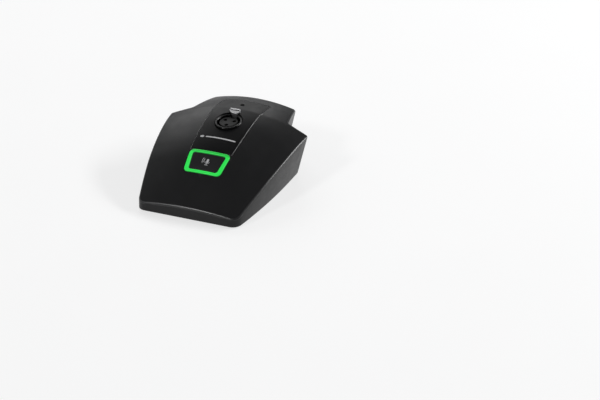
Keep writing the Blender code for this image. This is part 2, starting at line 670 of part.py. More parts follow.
# ------------------------------------------------------------------ talk button
def make_talk_button(talk):
    """Light ring, talk button with flange and plunger, guide, springs, switch, board and lamps."""
    def ring(mesh):
        tube(mesh, trapezoid(RING_OUTER), trapezoid(RING_INNER), -4.8,
             lambda u, v: talk_surface(u, v) + RING_PROUD)
    part("light_ring", ring, material("ring_light_guide", (0.05, 0.9, 0.2), 0.4), talk)

    def button(mesh):
        key, flange = trapezoid(RING_INNER, -GAP), trapezoid(RING_INNER, 1.6)
        centre = [p * 0.4 for p in key]

        def face(u, v):
            return talk_surface(u, v) + KEY_PROUD

        loft(mesh, [ring3(flange, -6.3), ring3(flange, -5.1), ring3(key, -5.1), ring3(key, face),
                    ring3(centre, face)])
    part("talk_button", button, material("button_plastic", (0.03, 0.03, 0.032), 0.45), talk)

    part("talk_plunger", lambda mesh: cylinder(mesh, 1.5, -7.8, -6.6, count=14),
         material("plunger_plastic", (0.7, 0.7, 0.68), 0.5), talk)
    part("talk_guide",
         lambda mesh: tube(mesh, trapezoid(RING_OUTER, 1.0), trapezoid(RING_OUTER, -1.0), -11.0, -5.1),
         material("guide_plastic", (0.75, 0.75, 0.73), 0.5), talk)
    part("talk_board", lambda mesh: prism(mesh, trapezoid(RING_OUTER, 1.0), *TALK_BOARD_Z),
         material("talk_board_green", (0.02, 0.12, 0.06), 0.45), talk)
    board_top = TALK_BOARD_Z[1] + GAP

    part("talk_spring",
         lambda mesh: coil_spring(mesh, (0.0, 0.0), 5.0, 0.35, board_top, -6.6, turns=3, steps=11),
         material("spring_steel", (0.6, 0.6, 0.6), 0.3, 1.0), talk)

    def switch(mesh):
        body, cap = rectangle(6.0, 6.0, 0.6, count=3), rectangle(3.4, 3.4, 1.2, count=3)
        loft(mesh, [ring3(body, board_top), ring3(body, -9.6), ring3(cap, -9.6), ring3(cap, -8.9)])
    part("talk_switch", switch, material("switch_black", (0.02, 0.02, 0.02), 0.5), talk)

    strip = part("ring_lamps",
                 lambda mesh: tube(mesh, trapezoid(RING_OUTER, -1.3), trapezoid(RING_OUTER, -4.0),
                                   board_top, board_top + 0.4),
                 material("led_white", (0.9, 0.9, 0.85), 0.4), talk)

    def lamps(mesh):
        for u, v in ((-15.0, 4.0), (15.0, 4.0), (-13.8, -4.5), (13.8, -4.5), (-5.0, 8.6), (5.0, 8.6),
                     (-5.0, -8.6), (5.0, -8.6)):
            box(mesh, (u - 1.0, u + 1.0), (v - 0.8, v + 0.8), (board_top + 0.2, board_top + 1.4))
    boolean(strip, "lamps_join", lamps, talk, "UNION")


# ------------------------------------------------------------------ microphone socket
def contact_places():
    """Three contacts on a circle, the middle one towards the front."""
    turns = (math.radians(a) for a in (30.0, 150.0, 270.0))
    return [(CONTACT_CIRCLE_R * math.cos(t), CONTACT_CIRCLE_R * math.sin(t)) for t in turns]


def make_socket(socket):
    """Socket ring, gasket, shell, insert, contacts and the bracket that holds them."""
    out, well = SOCKET_RING_R, SOCKET_WELL_R
    ring = part("socket_ring",
                lambda mesh: turned(mesh, [(well, -6.6), (out, -6.6), (out, -0.7), (out - 0.7, 0.0),
                                           (well + 0.5, 0.0), (well, -0.5)]),
                material("ring_plastic", (0.02, 0.02, 0.021), 0.4), socket)
    boolean(ring, "ring_neck_cut", lambda mesh: neck(mesh, NECK_FLOOR, 1.0), socket)
    part("socket_gasket", lambda mesh: turned(mesh, [(well + 0.1, -8.2), (13.6, -8.2), (13.6, -6.9),
                                                     (well + 0.1, -6.9)], count=24),
         material("gasket_rubber", (0.04, 0.04, 0.04), 0.9), socket)

    def shell_body(mesh):
        profile = [(11.4, -21.0), (11.4, -10.0), (14.2, -10.0), (14.2, -8.5), (well, -8.5), (well, -19.5)]
        loft(mesh, [ring3(circle(r, count=28), z) for r, z in profile])
    shell = part("socket_shell", shell_body, material("socket_metal", (0.12, 0.12, 0.12), 0.4, 1.0), socket)

    def pin_holes(mesh):
        for place in contact_places():
            cylinder(mesh, CONTACT_R + GAP, -23.0, -18.0, place, 12)
    boolean(shell, "pin_holes_cut", pin_holes, socket)
    boolean(shell, "hook_slot_cut", lambda mesh: box(mesh, (-2.4, 2.4), (8.0, 13.0), (-16.4, -13.6)), socket)

    insert = part("socket_insert",
                  lambda mesh: loft(mesh, [ring3(circle(INSERT_R, count=28), -19.2),
                                           ring3(circle(INSERT_R, count=28), -1.3),
                                           ring3(circle(INSERT_R - 0.4, count=28), -0.9)]),
                  material("insert_plastic", (0.015, 0.015, 0.015), 0.55), socket)

    def bores(mesh):
        for place in contact_places():
            cylinder(mesh, CONTACT_R + GAP, -22.0, 3.0, place, 12)
    boolean(insert, "contact_bores_cut", bores, socket)

    gold = material("socket_gold", (0.8, 0.6, 0.25), 0.3, 1.0)
    sizes = [(0.7, -8.0), (0.7, -2.6), (CONTACT_R, -2.6), (CONTACT_R, -19.0), (0.5, -19.0), (0.5, -23.5)]
    for index, place in enumerate(contact_places()):
        part(f"socket_contact_{index + 1}",
             lambda mesh, place=place: loft(mesh, [ring3(circle(r, place, 12), z) for r, z in sizes]),
             gold, socket)

    bracket = part("socket_bracket", lambda mesh: prism(mesh, rectangle(43.0, 34.0, 3.0, (0.0, 2.0)),
                                                        -12.0, -10.3),
                   material("bracket_steel", (0.5, 0.5, 0.5), 0.4, 1.0), socket)
    boolean(bracket, "bracket_hole_cut", lambda mesh: cylinder(mesh, 11.7, -14.0, -9.0, count=28), socket)

    def screw_holes(mesh):
        for x in (-BRACKET_SCREW_X, BRACKET_SCREW_X):
            cylinder(mesh, 1.3, -14.0, -9.0, (x, 0.0), 10)
    boolean(bracket, "bracket_screw_cut", screw_holes, socket)

    part("socket_lead",
         lambda mesh: wire_run(mesh, [(0.0, 17.0, 26.8), (0.0, 19.5, 25.0), (0.0, 21.0, 22.6),
                                      (0.0, 21.5, BOARD[4] + 0.9)], 1.1),
         material("lead_grey", (0.4, 0.4, 0.4), 0.5))


def make_release(socket):
    """Push tab that frees the plug, its return spring and the hook that it moves."""
    def face(x, v):
        share = (v - TAB[0][1]) / (TAB[-1][1] - TAB[0][1])
        return TAB_FRONT + (TAB_TOP - TAB_FRONT) * share

    def flange(mesh):
        prism(mesh, rectangle(14.8, 6.6, 0.8, (0.0, 16.1)), -5.0, -3.2)

    def paddle(mesh):
        loft(mesh, [ring3(tab_outline(), -3.7), ring3(tab_outline(), lambda x, v: face(x, v) - 0.5),
                    ring3(tab_outline(-0.5), face)])
    button = part("release_button", flange, material("tab_metal", (0.75, 0.76, 0.77), 0.25, 1.0), socket,
                  (0.0, TAB_V, 0.0))
    boolean(button, "paddle_join", paddle, socket, "UNION")
    part("release_spring", lambda mesh: coil_spring(mesh, (0.0, 17.0), 1.5, 0.28, -10.0, -5.3, turns=5),
         material("release_spring_steel", (0.6, 0.6, 0.6), 0.3, 1.0), socket)

    def hook(mesh):
        side = [(8.7, -16.0), (12.6, -16.0), (12.6, -18.0), (13.8, -18.0), (13.8, -12.6), (12.6, -12.6),
                (12.6, -14.0), (8.7, -14.0)]
        loft(mesh, [[Vector((x, y, z)) for y, z in side] for x in (-2.0, 2.0)])
    part("latch_hook", hook, material("hook_steel", (0.55, 0.55, 0.55), 0.35, 1.0), socket,
         (0.0, 13.2, -15.0))


# ------------------------------------------------------------------ rear panel
def make_rear(rear):
    """Rear panel with display, charging port and two buttons, and the board behind them."""
    width, height, radius = REAR_PANEL

    def plate(mesh):
        plug, flange = rectangle(width, height, radius), rectangle(width + 4.0, height + 3.0, radius)
        loft(mesh, [ring3(flange, -3.9), ring3(flange, -2.9), ring3(plug, -2.9), ring3(plug, -0.5)])
    panel = part("rear_panel", plate, material("rear_panel_plastic", (0.02, 0.02, 0.021), 0.5), rear)

    def openings(mesh):
        prism(mesh, rectangle(28.0, 9.0, 1.0, DISPLAY_AT, 3), -6.0, 2.0)
        prism(mesh, rectangle(9.8, 4.0, 1.5, PORT_AT, 3), -6.0, 2.0)
        cylinder(mesh, 3.2, -6.0, 2.0, POWER_AT, 20)
        cylinder(mesh, 2.4, -6.0, 2.0, SET_AT, 16)
    boolean(panel, "panel_openings_cut", openings, rear)

    part("display_window", lambda mesh: prism(mesh, rectangle(27.4, 8.4, 0.7, DISPLAY_AT, 3), -1.8, -0.6),
         material("window_smoked", (0.01, 0.01, 0.012), 0.1), rear)
    part("display_module", lambda mesh: prism(mesh, rectangle(31.0, 12.0, 0.6, DISPLAY_AT, 3), -6.9, -4.2),
         material("display_glass", (0.03, 0.04, 0.05), 0.2), rear)

    def port(mesh):
        outer, inner = rectangle(9.0, 3.2, 1.2, PORT_AT, 3), rectangle(8.4, 2.6, 0.9, PORT_AT, 3)
        loft(mesh, [ring3(outer, -7.2), ring3(outer, -0.8), ring3(inner, -0.8), ring3(inner, -6.4)])
    part("charge_port", port, material("port_steel", (0.6, 0.6, 0.6), 0.3, 1.0), rear)

    rear_look = material("rear_button_plastic", (0.04, 0.04, 0.042), 0.45)

    def key(name, place, r):
        def build(mesh):
            sizes = [(r + 1.1, -5.5), (r + 1.1, -4.2), (r, -4.2), (r, 0.0), (r - 0.4, 0.3)]
            loft(mesh, [ring3(circle(q, place, 20), z) for q, z in sizes])
        part(name, build, rear_look, rear, (place[0], place[1], 0.0))
    key("power_button", POWER_AT, 2.9)
    key("set_button", SET_AT, 2.1)

    part("rear_board", lambda mesh: prism(mesh, rectangle(46.0, 24.0, 1.0, count=3), -9.2, -7.6),
         material("rear_board_green", (0.02, 0.12, 0.06), 0.45), rear)

    black = material("rear_switch_black", (0.02, 0.02, 0.02), 0.5)
    for name, place in (("power_switch", POWER_AT), ("set_switch", SET_AT)):
        part(name, lambda mesh, place=place: prism(mesh, rectangle(3.8, 3.8, 0.6, place, 3), -7.3, -6.4),
             black, rear)

    def ribbon(mesh):
        route = [(46.0, 20.2), (50.0, 20.4), (54.0, 21.6), (57.0, 24.0), (58.6, 27.5), (58.8, 31.0)]
        rings = []
        for y, z in route:
            rings.append([Vector((-6.0, y, z)), Vector((6.0, y, z)), Vector((6.0, y - 0.25, z + 0.3)),
                          Vector((-6.0, y - 0.25, z + 0.3))])
        loft(mesh, rings)
    part("ribbon_cable", ribbon, material("ribbon_amber", (0.5, 0.25, 0.06), 0.4))


def make_status_lens():
    """Small dark lens in a hole on the centre line, below the strip's surface."""
    top = crown(0, STATUS_Y)
    part("status_lens", lambda mesh: cylinder(mesh, STATUS_R, top - 3.2, top - 0.8, (0.0, STATUS_Y), 16),
         material("lens_dark", (0.01, 0.01, 0.01), 0.15))


def main():
    """Build every piece in an empty scene."""
    for old in list(bpy.data.objects):
        bpy.data.objects.remove(old, do_unlink=True)
    talk = tilted_frame("talk_frame", TALK_Y, crown(0, TALK_Y), TALK_TILT)
    socket = tilted_frame("socket_frame", SOCKET_Y, SOCKET_Z, SOCKET_TILT)
    rear = rear_frame()
    make_top_shell(talk, socket, rear)
    make_centre_strip(talk, socket)
    make_base_shell()
    make_feet()
    make_screws(socket)
    make_battery()
    make_charging()
    make_main_board()
    make_talk_button(talk)
    make_socket(socket)
    make_release(socket)
    make_rear(rear)
    make_status_lens()


main()
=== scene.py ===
"""Looks of a table-top wireless microphone transmitter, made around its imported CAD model.

Lengths are in millimetres, as in the CAD design, and turned into metres where meshes are made. The talk
button, the microphone socket and the rear panel have frames of their own, whose +Z points out of the unit.
"""
import math

import bmesh
import bpy
import numpy as np
from mathutils import Matrix, Vector


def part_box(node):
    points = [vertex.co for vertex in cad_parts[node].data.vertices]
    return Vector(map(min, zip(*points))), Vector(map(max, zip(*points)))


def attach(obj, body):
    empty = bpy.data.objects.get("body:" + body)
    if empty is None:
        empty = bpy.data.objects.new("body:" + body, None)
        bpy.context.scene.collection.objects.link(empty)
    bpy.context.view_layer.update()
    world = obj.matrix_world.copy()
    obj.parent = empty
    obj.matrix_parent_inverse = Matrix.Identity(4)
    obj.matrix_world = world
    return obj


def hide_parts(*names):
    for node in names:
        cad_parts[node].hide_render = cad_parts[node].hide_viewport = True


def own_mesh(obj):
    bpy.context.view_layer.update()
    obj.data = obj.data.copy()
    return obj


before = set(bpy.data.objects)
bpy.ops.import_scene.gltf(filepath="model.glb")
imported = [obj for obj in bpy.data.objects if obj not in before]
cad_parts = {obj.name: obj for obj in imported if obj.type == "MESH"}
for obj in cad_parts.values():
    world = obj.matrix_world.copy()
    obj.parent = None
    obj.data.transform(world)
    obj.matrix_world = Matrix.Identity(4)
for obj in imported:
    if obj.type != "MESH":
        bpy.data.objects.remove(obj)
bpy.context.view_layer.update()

MM = 0.001
SEAM = 0.22                    # visible gap between neighbouring pieces
SPACING = 2.2                  # length of the pieces that long edges are divided into
INK_DEPTH, INK_RISE = 0.02, 0.03       # how far printed marks reach below and above their surface

# ---- body ----
FRONT_TOP_Y, FRONT_BASE_Y = -69.2, -70.6
REAR_TOP_Y, REAR_BASE_Y = 67.6, 70.6
SHOULDER_Y = 33.2
REAR_TOP_HALF, REAR_BASE_HALF = 38.9, 27.0
STAR_Y = 3.0                   # the outline is star-shaped about this point on the centre line
WALL, ROOF = 2.2, 2.6
UNDERSIDE_Z = 1.2
CROWN_PROFILE = [(-72.0, 9.0), (-69.0, 10.8), (-45.0, 25.2), (-22.0, 37.8), (0.0, 46.1),
                 (22.0, 51.5), (34.0, 52.4), (50.0, 51.2), (68.0, 47.7), (72.0, 46.8)]
CROWN_RADIUS = 140.0
CROWN_FLATTENS_Y = -15.0
LINE_SMOOTHING = 9             # reach of the smoothing along the centre line, in steps of 0.25
RIDGE_Y, RIDGE_RISE, RIDGE_REACH = 33.0, 0.6, 7.0     # soft ridge across the top, behind the socket

# ---- centre strip ----
STRIP_FRONT_Y, STRIP_REAR_Y = -20.6, 53.2
STRIP_WIDEST_Y, STRIP_HALF, STRIP_TAPER = 36.0, 21.7, 0.00091
STRIP_THICK = 1.0
STRIP_CORNER = 1.5
MARK_Y = -6.5                  # printed mark: a block and a line
MARK_RUNS = [(-16.3, -12.9, 2.0), (-11.4, 16.3, 1.25)]     # left end, right end, width
STRIP_EDGE = 0.7               # radius of the strip's rounded edge
POLISH_DEPTH = 1.2             # rounded edges are polished down to this depth below the roof

# ---- talk button frame ----
TALK_Y, TALK_TILT = -30.6, math.radians(29.5)
RING_OUTER = (18.7, 16.5, 11.3, 4.0)   # half widths at rear and front, half height, corner radius
RING_INNER = (15.3, 13.0, 8.5, 2.0)
RING_PROUD = 0.35
RING_FOOT = -4.8
RING_EDGE = 0.7                # radius of the ring's rounded edges
KEY_PROUD, KEY_DISH = 0.1, 0.45
KEY_EDGE, KEY_GAP, KEY_LIP = 0.55, 0.3, 1.6    # rounded edge, gap inside the ring, lip under the ring
KEY_FOOT, KEY_LIP_TOP = -6.3, -5.1
TALK_CUT = (-9.0, 4.0)         # reach of the cutter for the ring, below and above the roof

# ---- microphone socket frame ----
SOCKET_Y, SOCKET_Z, SOCKET_TILT = 14.5, 50.0, math.radians(5.0)
RING_R, WELL_R, INSERT_R = 11.7, 9.7, 7.9
CONTACT_CIRCLE_R, CONTACT_R = 4.7, 1.1
TAB = [(2.2, 11.4, 0.6), (5.4, 13.1, 1.0), (4.6, 14.9, 1.2)]   # release tab: half width, place, corner radius
TAB_FRONT, TAB_TOP = 1.0, 4.0          # height of the tab's sloping face in front and behind
TAB_CLEARANCE = 0.3
TAB_FLANGE, TAB_FLANGE_AT = (14.8, 6.6, 0.8), (0.0, 16.1)
NECK_HALF, NECK_FLOOR = 3.2, -5.8      # gap from the tab's slot into the socket
INSERT_FACE = -0.9
SOCKET_CUT = (-11.0, 6.0)              # reach of the cutters for the socket and the tab
STATUS_AT, STATUS_R, STATUS_CUT = (0.0, 42.0), 1.9, (44.0, 56.0)

# ---- rear panel frame ----
REAR_PANEL = (46.0, 24.0, 3.0)
REAR_Z = 24.0
PANEL_FACE, FLANGE_FRONT, FLANGE_BACK = -0.4, -2.9, -3.9
POWER_AT, SET_AT, PORT_AT, DISPLAY_AT = (-15.5, -6.0), (15.5, -6.0), (0.0, -6.5), (0.0, 5.0)
POWER_R, SET_R, BUTTON_GAP, BUTTON_TOP = 2.9, 2.1, 0.25, 0.3
DISPLAY_OPENING, WINDOW_GAP = (28.0, 9.0, 1.0), 0.3    # width, height, corner radius
PORT_OPENING, PORT_SHELL, PORT_TONGUE = (9.5, 3.7, 1.6), (9.0, 3.2, 1.45), (6.4, 0.75, 0.2)

# ---- base ----
FOOT_PLACES = [(-38.0, -56.0), (38.0, -56.0), (-42.0, 20.0), (42.0, 20.0)]
FOOT_R = 6.0
HOUSING_SCREWS = [(-42.0, -46.0), (42.0, -46.0), (-46.0, 8.0), (46.0, 8.0)]
COVER, COVER_AT = (44.0, 62.5, 0.8), (0.0, 26.25)
COVER_GAP, COVER_TOP = 0.3, 2.6
COVER_SCREWS = [(-16.0, 54.0), (16.0, 54.0)]
# piece, CAD node, places, head radius, its lower and upper face, shank radius, tip
SCREW_KINDS = [("case_screw", "housing_screw", HOUSING_SCREWS, 2.9, 1.3, 2.7, 1.2, 13.5),
               ("door_screw", "battery_cover_screw", COVER_SCREWS, 2.2, 1.35, 2.0, 0.9, 7.3)]


# ------------------------------------------------------------------ surfaces and outlines
def smooth_profile(points, t):
    """Cubic through the points with slopes weighted from the neighbouring spans."""
    spans = [(b[1] - a[1]) / (b[0] - a[0]) for a, b in zip(points, points[1:])]
    slopes = [spans[0]]
    for i in range(1, len(points) - 1):
        before = points[i][0] - points[i - 1][0]
        after = points[i + 1][0] - points[i][0]
        slopes.append((spans[i - 1] * after + spans[i] * before) / (before + after))
    slopes.append(spans[-1])
    t = min(max(t, points[0][0]), points[-1][0])
    i = max(k for k in range(len(points) - 1) if points[k][0] <= t)
    (x0, y0), (x1, y1) = points[i], points[i + 1]
    h = x1 - x0
    s = (t - x0) / h
    return ((1 + 2 * s) * (1 - s) ** 2 * y0 + s * (1 - s) ** 2 * h * slopes[i]
            + s * s * (3 - 2 * s) * y1 + s * s * (s - 1) * h * slopes[i + 1])


def centre_line():
    """Heights of the roof along the centre line, at even steps, with the curvature evened out."""
    ys = np.arange(-78.0, 78.0, 0.25)
    rough = np.array([smooth_profile(CROWN_PROFILE, y) for y in ys])
    rough += RIDGE_RISE * np.exp(-np.abs(ys - RIDGE_Y) / RIDGE_REACH)
    window = np.hanning(2 * LINE_SMOOTHING + 1)
    padded = np.pad(rough, LINE_SMOOTHING, mode="reflect", reflect_type="odd")
    return ys, np.convolve(padded, window / window.sum(), mode="valid")


LINE_Y, LINE_Z = centre_line()


def crown(x, y):
    """Height of the roof's outer surface."""
    flat = max(0.0, CROWN_FLATTENS_Y - y) / 50.0
    curvature = 1.0 / CROWN_RADIUS - 0.0033 * flat ** 1.4
    return float(np.interp(y, LINE_Y, LINE_Z)) - 0.5 * x * x * max(curvature, 0.0)


def crown_normal(x, y):
    """Unit normal of the roof."""
    gx = crown(x + 0.25, y) - crown(x - 0.25, y)
    gy = crown(x, y + 0.25) - crown(x, y - 0.25)
    return Vector((-gx, -gy, 0.5)).normalized()


def lifted(x, y, depth):
    """Point on the roof, moved out along its normal by `depth`, kept over (x, y)."""
    return Vector((x, y, crown(x, y) + depth / crown_normal(x, y).z))


def top_half(y):
    """Half width of the roof's edge."""
    return 58.5 + 0.1925 * (y + 15.0) - 0.001125 * (y + 15.0) ** 2


def base_half(y):
    """Half width of the walls at the underside."""
    return 52.6 + 0.075 * (y + 15.0) - 0.001 * (y + 15.0) ** 2


def rounded(corners):
    """Polygon with rounded corners, each given as (x, y, radius, number of points, value carried along).

    A negative radius marks a hollow corner, whose radius grows when the outline moves inwards.
    """
    points = []
    for i, (x, y, radius, count, value) in enumerate(corners):
        here = Vector((x, y))
        if radius == 0:
            points.append((here, value))
            continue
        radius = abs(radius)
        before = (Vector(corners[i - 1][:2]) - here).normalized()
        after = (Vector(corners[(i + 1) % len(corners)][:2]) - here).normalized()
        half_angle = before.angle(after) / 2
        centre = here + (before + after).normalized() * (radius / math.sin(half_angle))
        first = here + before * (radius / math.tan(half_angle)) - centre
        last = here + after * (radius / math.tan(half_angle)) - centre
        turn = first.angle_signed(last)
        for k in range(count):
            points.append((centre + Matrix.Rotation(-turn * k / (count - 1), 2) @ first, value))
    return points


def inset(outline, amounts):
    """Outline moved inwards, point by point; `amounts` is one number or one for each point."""
    if not hasattr(amounts, "__len__"):
        amounts = [amounts] * len(outline)
    moved = []
    for i, here in enumerate(outline):
        a = (here - outline[i - 1]).normalized()
        b = (outline[(i + 1) % len(outline)] - here).normalized()
        inward = Vector((-a.y - b.y, a.x + b.x))
        moved.append(here + inward * amounts[i] * (2.0 / max(inward.length_squared, 0.5)))
    return moved


def body_corners(front_y, half, shoulder_x, inner, rear_half, rear_y):
    """Outline of the body, anticlockwise; the value carried along is the size of the edge's rounding."""
    right = [(22.0, front_y, 0, 1, 1.3), (half(front_y), front_y, 8.0, 12, 1.4)]
    right += [(half(y), y, 0, 1, 1.7) for y in range(-58, 23, 4)]
    shoulder, notch = Vector((shoulder_x, SHOULDER_Y)), Vector(inner)
    right.append((*shoulder, 2.5, 8, 0.9))
    for share, size in ((0.27, 1.4), (0.5, 3.4), (0.72, 3.0)):
        right.append((*shoulder.lerp(notch, share), 0, 1, size))
    right += [(*notch, -2.5, 8, 2.2), (rear_half, rear_y, 4.0, 9, 1.5), (15.0, rear_y, 0, 1, 1.6)]
    return right + [(-x, y, r, n, v) for x, y, r, n, v in reversed(right)]


def moved_corners(corners, inward):
    """Corner list moved inwards, with its radii adjusted."""
    places = inset([Vector(c[:2]) for c in corners], inward)
    result = []
    for place, (_, _, radius, count, value) in zip(places, corners):
        if radius > 0:
            radius = max(radius - inward, 0.5)
        elif radius < 0:
            radius = inward - radius
        result.append((place.x, place.y, radius, count, value))
    return result


ROOF_CORNERS = body_corners(FRONT_TOP_Y, top_half, 64.7, (45.7, 37.0), REAR_TOP_HALF, REAR_TOP_Y)
BASE_CORNERS = body_corners(FRONT_BASE_Y, base_half, 54.2, (35.0, 38.0), REAR_BASE_HALF, REAR_BASE_Y)


def edge_pieces(outline, step):
    """How many pieces of about `step` each edge of an outline is divided into."""
    return [max(1, round((outline[(i + 1) % len(outline)] - p).length / step))
            for i, p in enumerate(outline)]


def split(outline, pieces):
    """Outline with each edge divided into its own number of pieces."""
    fine = []
    for i, here in enumerate(outline):
        after = outline[(i + 1) % len(outline)]
        fine += [here.lerp(after, k / pieces[i]) for k in range(pieces[i])]
    return fine


def divided(outline, step):
    """Outline with its long edges divided evenly."""
    return split(outline, edge_pieces(outline, step))


BODY_PIECES = edge_pieces([p for p, _ in rounded(ROOF_CORNERS)], SPACING)


def body_outline(corners, inward=0.0):
    """Points and edge sizes of the body's outline, evenly divided along its long runs."""
    points = rounded(moved_corners(corners, inward) if inward else corners)
    sizes = []
    for i, (_, size) in enumerate(points):
        after, count = points[(i + 1) % len(points)][1], BODY_PIECES[i]
        sizes += [size + (after - size) * k / count for k in range(count)]
    return split([p for p, _ in points], BODY_PIECES), sizes


def even(values, reach):
    """Closed run of values, each averaged with its neighbours on both sides."""
    count = len(values)
    return [sum(values[(i + k) % count] for k in range(-reach, reach + 1)) / (2 * reach + 1)
            for i in range(count)]


def rectangle(width, height, radius, centre=(0.0, 0.0), count=8):
    """Rounded rectangle."""
    w, h = width / 2, height / 2
    places = [(-w, -h), (w, -h), (w, h), (-w, h)]
    return [p for p, _ in rounded([(centre[0] + x, centre[1] + y, radius, count, 0) for x, y in places])]


def trapezoid(shape, grow=0.0):
    """Rounded trapezoid of the talk button, grown on all sides; its points match for every size."""
    rear, front, height, radius = shape
    rear, front, height = rear + grow, front + grow, height + grow
    corners = []
    for x, y in ((-front, -height), (front, -height), (rear, height), (-rear, height)):
        corners.append((x, y, max(radius + grow, 0.3), 10, 0))
    points = [p for p, _ in rounded(corners)]
    return split(points, [16 if i % 10 == 9 else 1 for i in range(len(points))])


def circle(radius, centre=(0.0, 0.0), count=96):
    """Circle as a polygon."""
    turns = [2 * math.pi * k / count for k in range(count)]
    return [Vector((centre[0] + radius * math.cos(t), centre[1] + radius * math.sin(t))) for t in turns]


def grown_rectangle(width, height, radius, centre=(0.0, 0.0), count=8):
    """Function of a growth, giving a rounded rectangle grown on all sides."""
    return lambda grow: rectangle(width + 2 * grow, height + 2 * grow, radius + grow, centre, count)


def grown_circle(radius, centre=(0.0, 0.0), count=96):
    """Function of a growth, giving a circle grown by it."""
    return lambda grow: circle(radius + grow, centre, count)


def scaled(outline, middle, scale):
    """Outline scaled about a point."""
    return [middle + (p - middle) * scale for p in outline]


def blended(first, last, share):
    """Outline or ring part of the way from one to another."""
    return [a.lerp(b, share) for a, b in zip(first, last)]


# ------------------------------------------------------------------ frames
def leaning(y, z, tilt):
    """Frame on the centre line whose +Z leans towards the front by `tilt`."""
    return Matrix.Translation((0.0, y, z)) @ Matrix.Rotation(tilt, 4, "X")


def cad_crown(y):
    """Height of the CAD roof on the centre line, which the frames stand on."""
    return smooth_profile(CROWN_PROFILE, y)


def rear_frame():
    """Frame on the rear wall: +Z out of the unit, +Y up."""
    lean = math.atan2(REAR_BASE_Y - REAR_TOP_Y, cad_crown(REAR_TOP_Y) - UNDERSIDE_Z)
    y = REAR_BASE_Y - (REAR_Z - UNDERSIDE_Z) * math.tan(lean)
    turn = Matrix.Rotation(math.pi, 4, "Z") @ Matrix.Rotation(math.pi / 2 - lean, 4, "X")
    return Matrix.Translation((0.0, y, REAR_Z)) @ turn


TALK = leaning(TALK_Y, cad_crown(TALK_Y), TALK_TILT)
SOCKET = leaning(SOCKET_Y, SOCKET_Z, SOCKET_TILT)
REAR = rear_frame()
HOME = Matrix.Identity(4)

# name, CAD node, joint, frame, place, coil radius, wire radius, lower end, upper end, turns
SPRINGS = [("key_spring", "talk_spring", "talk_press", TALK, (0.0, 0.0), 5.0, 0.35, -11.0, -6.6, 3),
           ("tab_spring", "release_spring", "release_press", SOCKET, (0.0, 17.0), 1.5, 0.28, -10.0, -5.3, 5)]


def surface_over(matrix):
    """Function of (u, v): the roof's height over that plane of the frame."""
    up = matrix.to_3x3().col[2]

    def height(u, v):
        h = 0.0
        for _ in range(6):
            place = matrix @ Vector((u, v, h))
            h += (crown(place.x, place.y) - place.z) * up.z
        return h
    return height


talk_surface = surface_over(TALK)
socket_surface = surface_over(SOCKET)


# ------------------------------------------------------------------ mesh helpers
def ring3(outline, height):
    """Outline lifted to a height, which is a number or a function of (x, y)."""
    level = height if callable(height) else (lambda x, y: height)
    return [Vector((p.x, p.y, level(p.x, p.y))) for p in outline]


def over(surface, amount):
    """Surface moved up by `amount`; it is a height or a function of (x, y)."""
    if callable(surface):
        return lambda x, y: surface(x, y) + amount
    return surface + amount


def loft(mesh, rings, closed=False):
    """Skin through rings of equal count; its ends are capped, or joined if `closed`."""
    rows = [[mesh.verts.new(p) for p in ring] for ring in rings]
    pairs = list(zip(rows, rows[1:]))
    if closed:
        pairs.append((rows[-1], rows[0]))
    count = len(rows[0])
    for low, high in pairs:
        for i in range(count):
            j = (i + 1) % count
            mesh.faces.new((low[i], low[j], high[j], high[i]))
    if not closed:
        mesh.faces.new(rows[0])
        mesh.faces.new(rows[-1])


def bent(first, corner, last, shares):
    """Rings on the curve from `first` to `last` that starts and ends towards `corner`."""
    return [[a * (1 - u) ** 2 + c * 2 * u * (1 - u) + b * u * u for a, c, b in zip(first, corner, last)]
            for u in shares]


def quarter(radius, steps=5):
    """Steps of a rounded edge from the wall to the face, as (inwards, below the face)."""
    turns = [math.pi / 2 * k / steps for k in range(steps + 1)]
    return [(radius * (1 - math.cos(t)), radius * (1 - math.sin(t))) for t in turns]


def rounded_rim(shape, surface, radius, steps=5, side=-1):
    """Rings of a rounded edge up to the surface; `shape` gives an outline by its growth.

    The edge leans in for a solid, and out (side 1) for the rim of a hole.
    """
    return [ring3(shape(side * inward), over(surface, -down)) for inward, down in quarter(radius, steps)]


# The next four return a function that fills a mesh.
def prism(outline, low, high):
    """Outline pulled from low to high."""
    return lambda mesh: loft(mesh, [ring3(outline, low), ring3(outline, high)])


def turned(profile, centre=(0.0, 0.0), count=96, closed=False):
    """Solid of revolution about the upright line through `centre`, from a run of (r, z)."""
    return lambda mesh: loft(mesh, [ring3(circle(r, centre, count), z) for r, z in profile], closed)


def flared(shape, surface, low, high, radius):
    """Cutter that rounds the surface's edge around its hole; `shape` gives an outline by its growth."""
    rings = [ring3(shape(0.0), low)] + rounded_rim(shape, surface, radius, side=1)[:-1]
    out, down = quarter(radius)[-2]
    rings += [ring3(shape(out + 0.5), height) for height in (over(surface, 0.4 - down), high)]
    return lambda mesh: loft(mesh, rings)


def from_below(shape, depth, edge):
    """Cutter into the underside, with a rounded edge; `shape` gives an outline by its growth."""
    rings = [ring3(shape(0.0), UNDERSIDE_Z + depth)]
    rings += [ring3(shape(out), UNDERSIDE_Z + down) for out, down in quarter(edge)[:-1]]
    rings += [ring3(shape(edge + 0.2), UNDERSIDE_Z - drop) for drop in (0.3, 1.0)]
    return lambda mesh: loft(mesh, rings)


def soften(profile, radius, steps=3):
    """Closed (r, z) loop with its corners rounded."""
    return [(p.x, p.y) for p, _ in rounded([(r, z, radius, steps + 1, 0) for r, z in profile])]


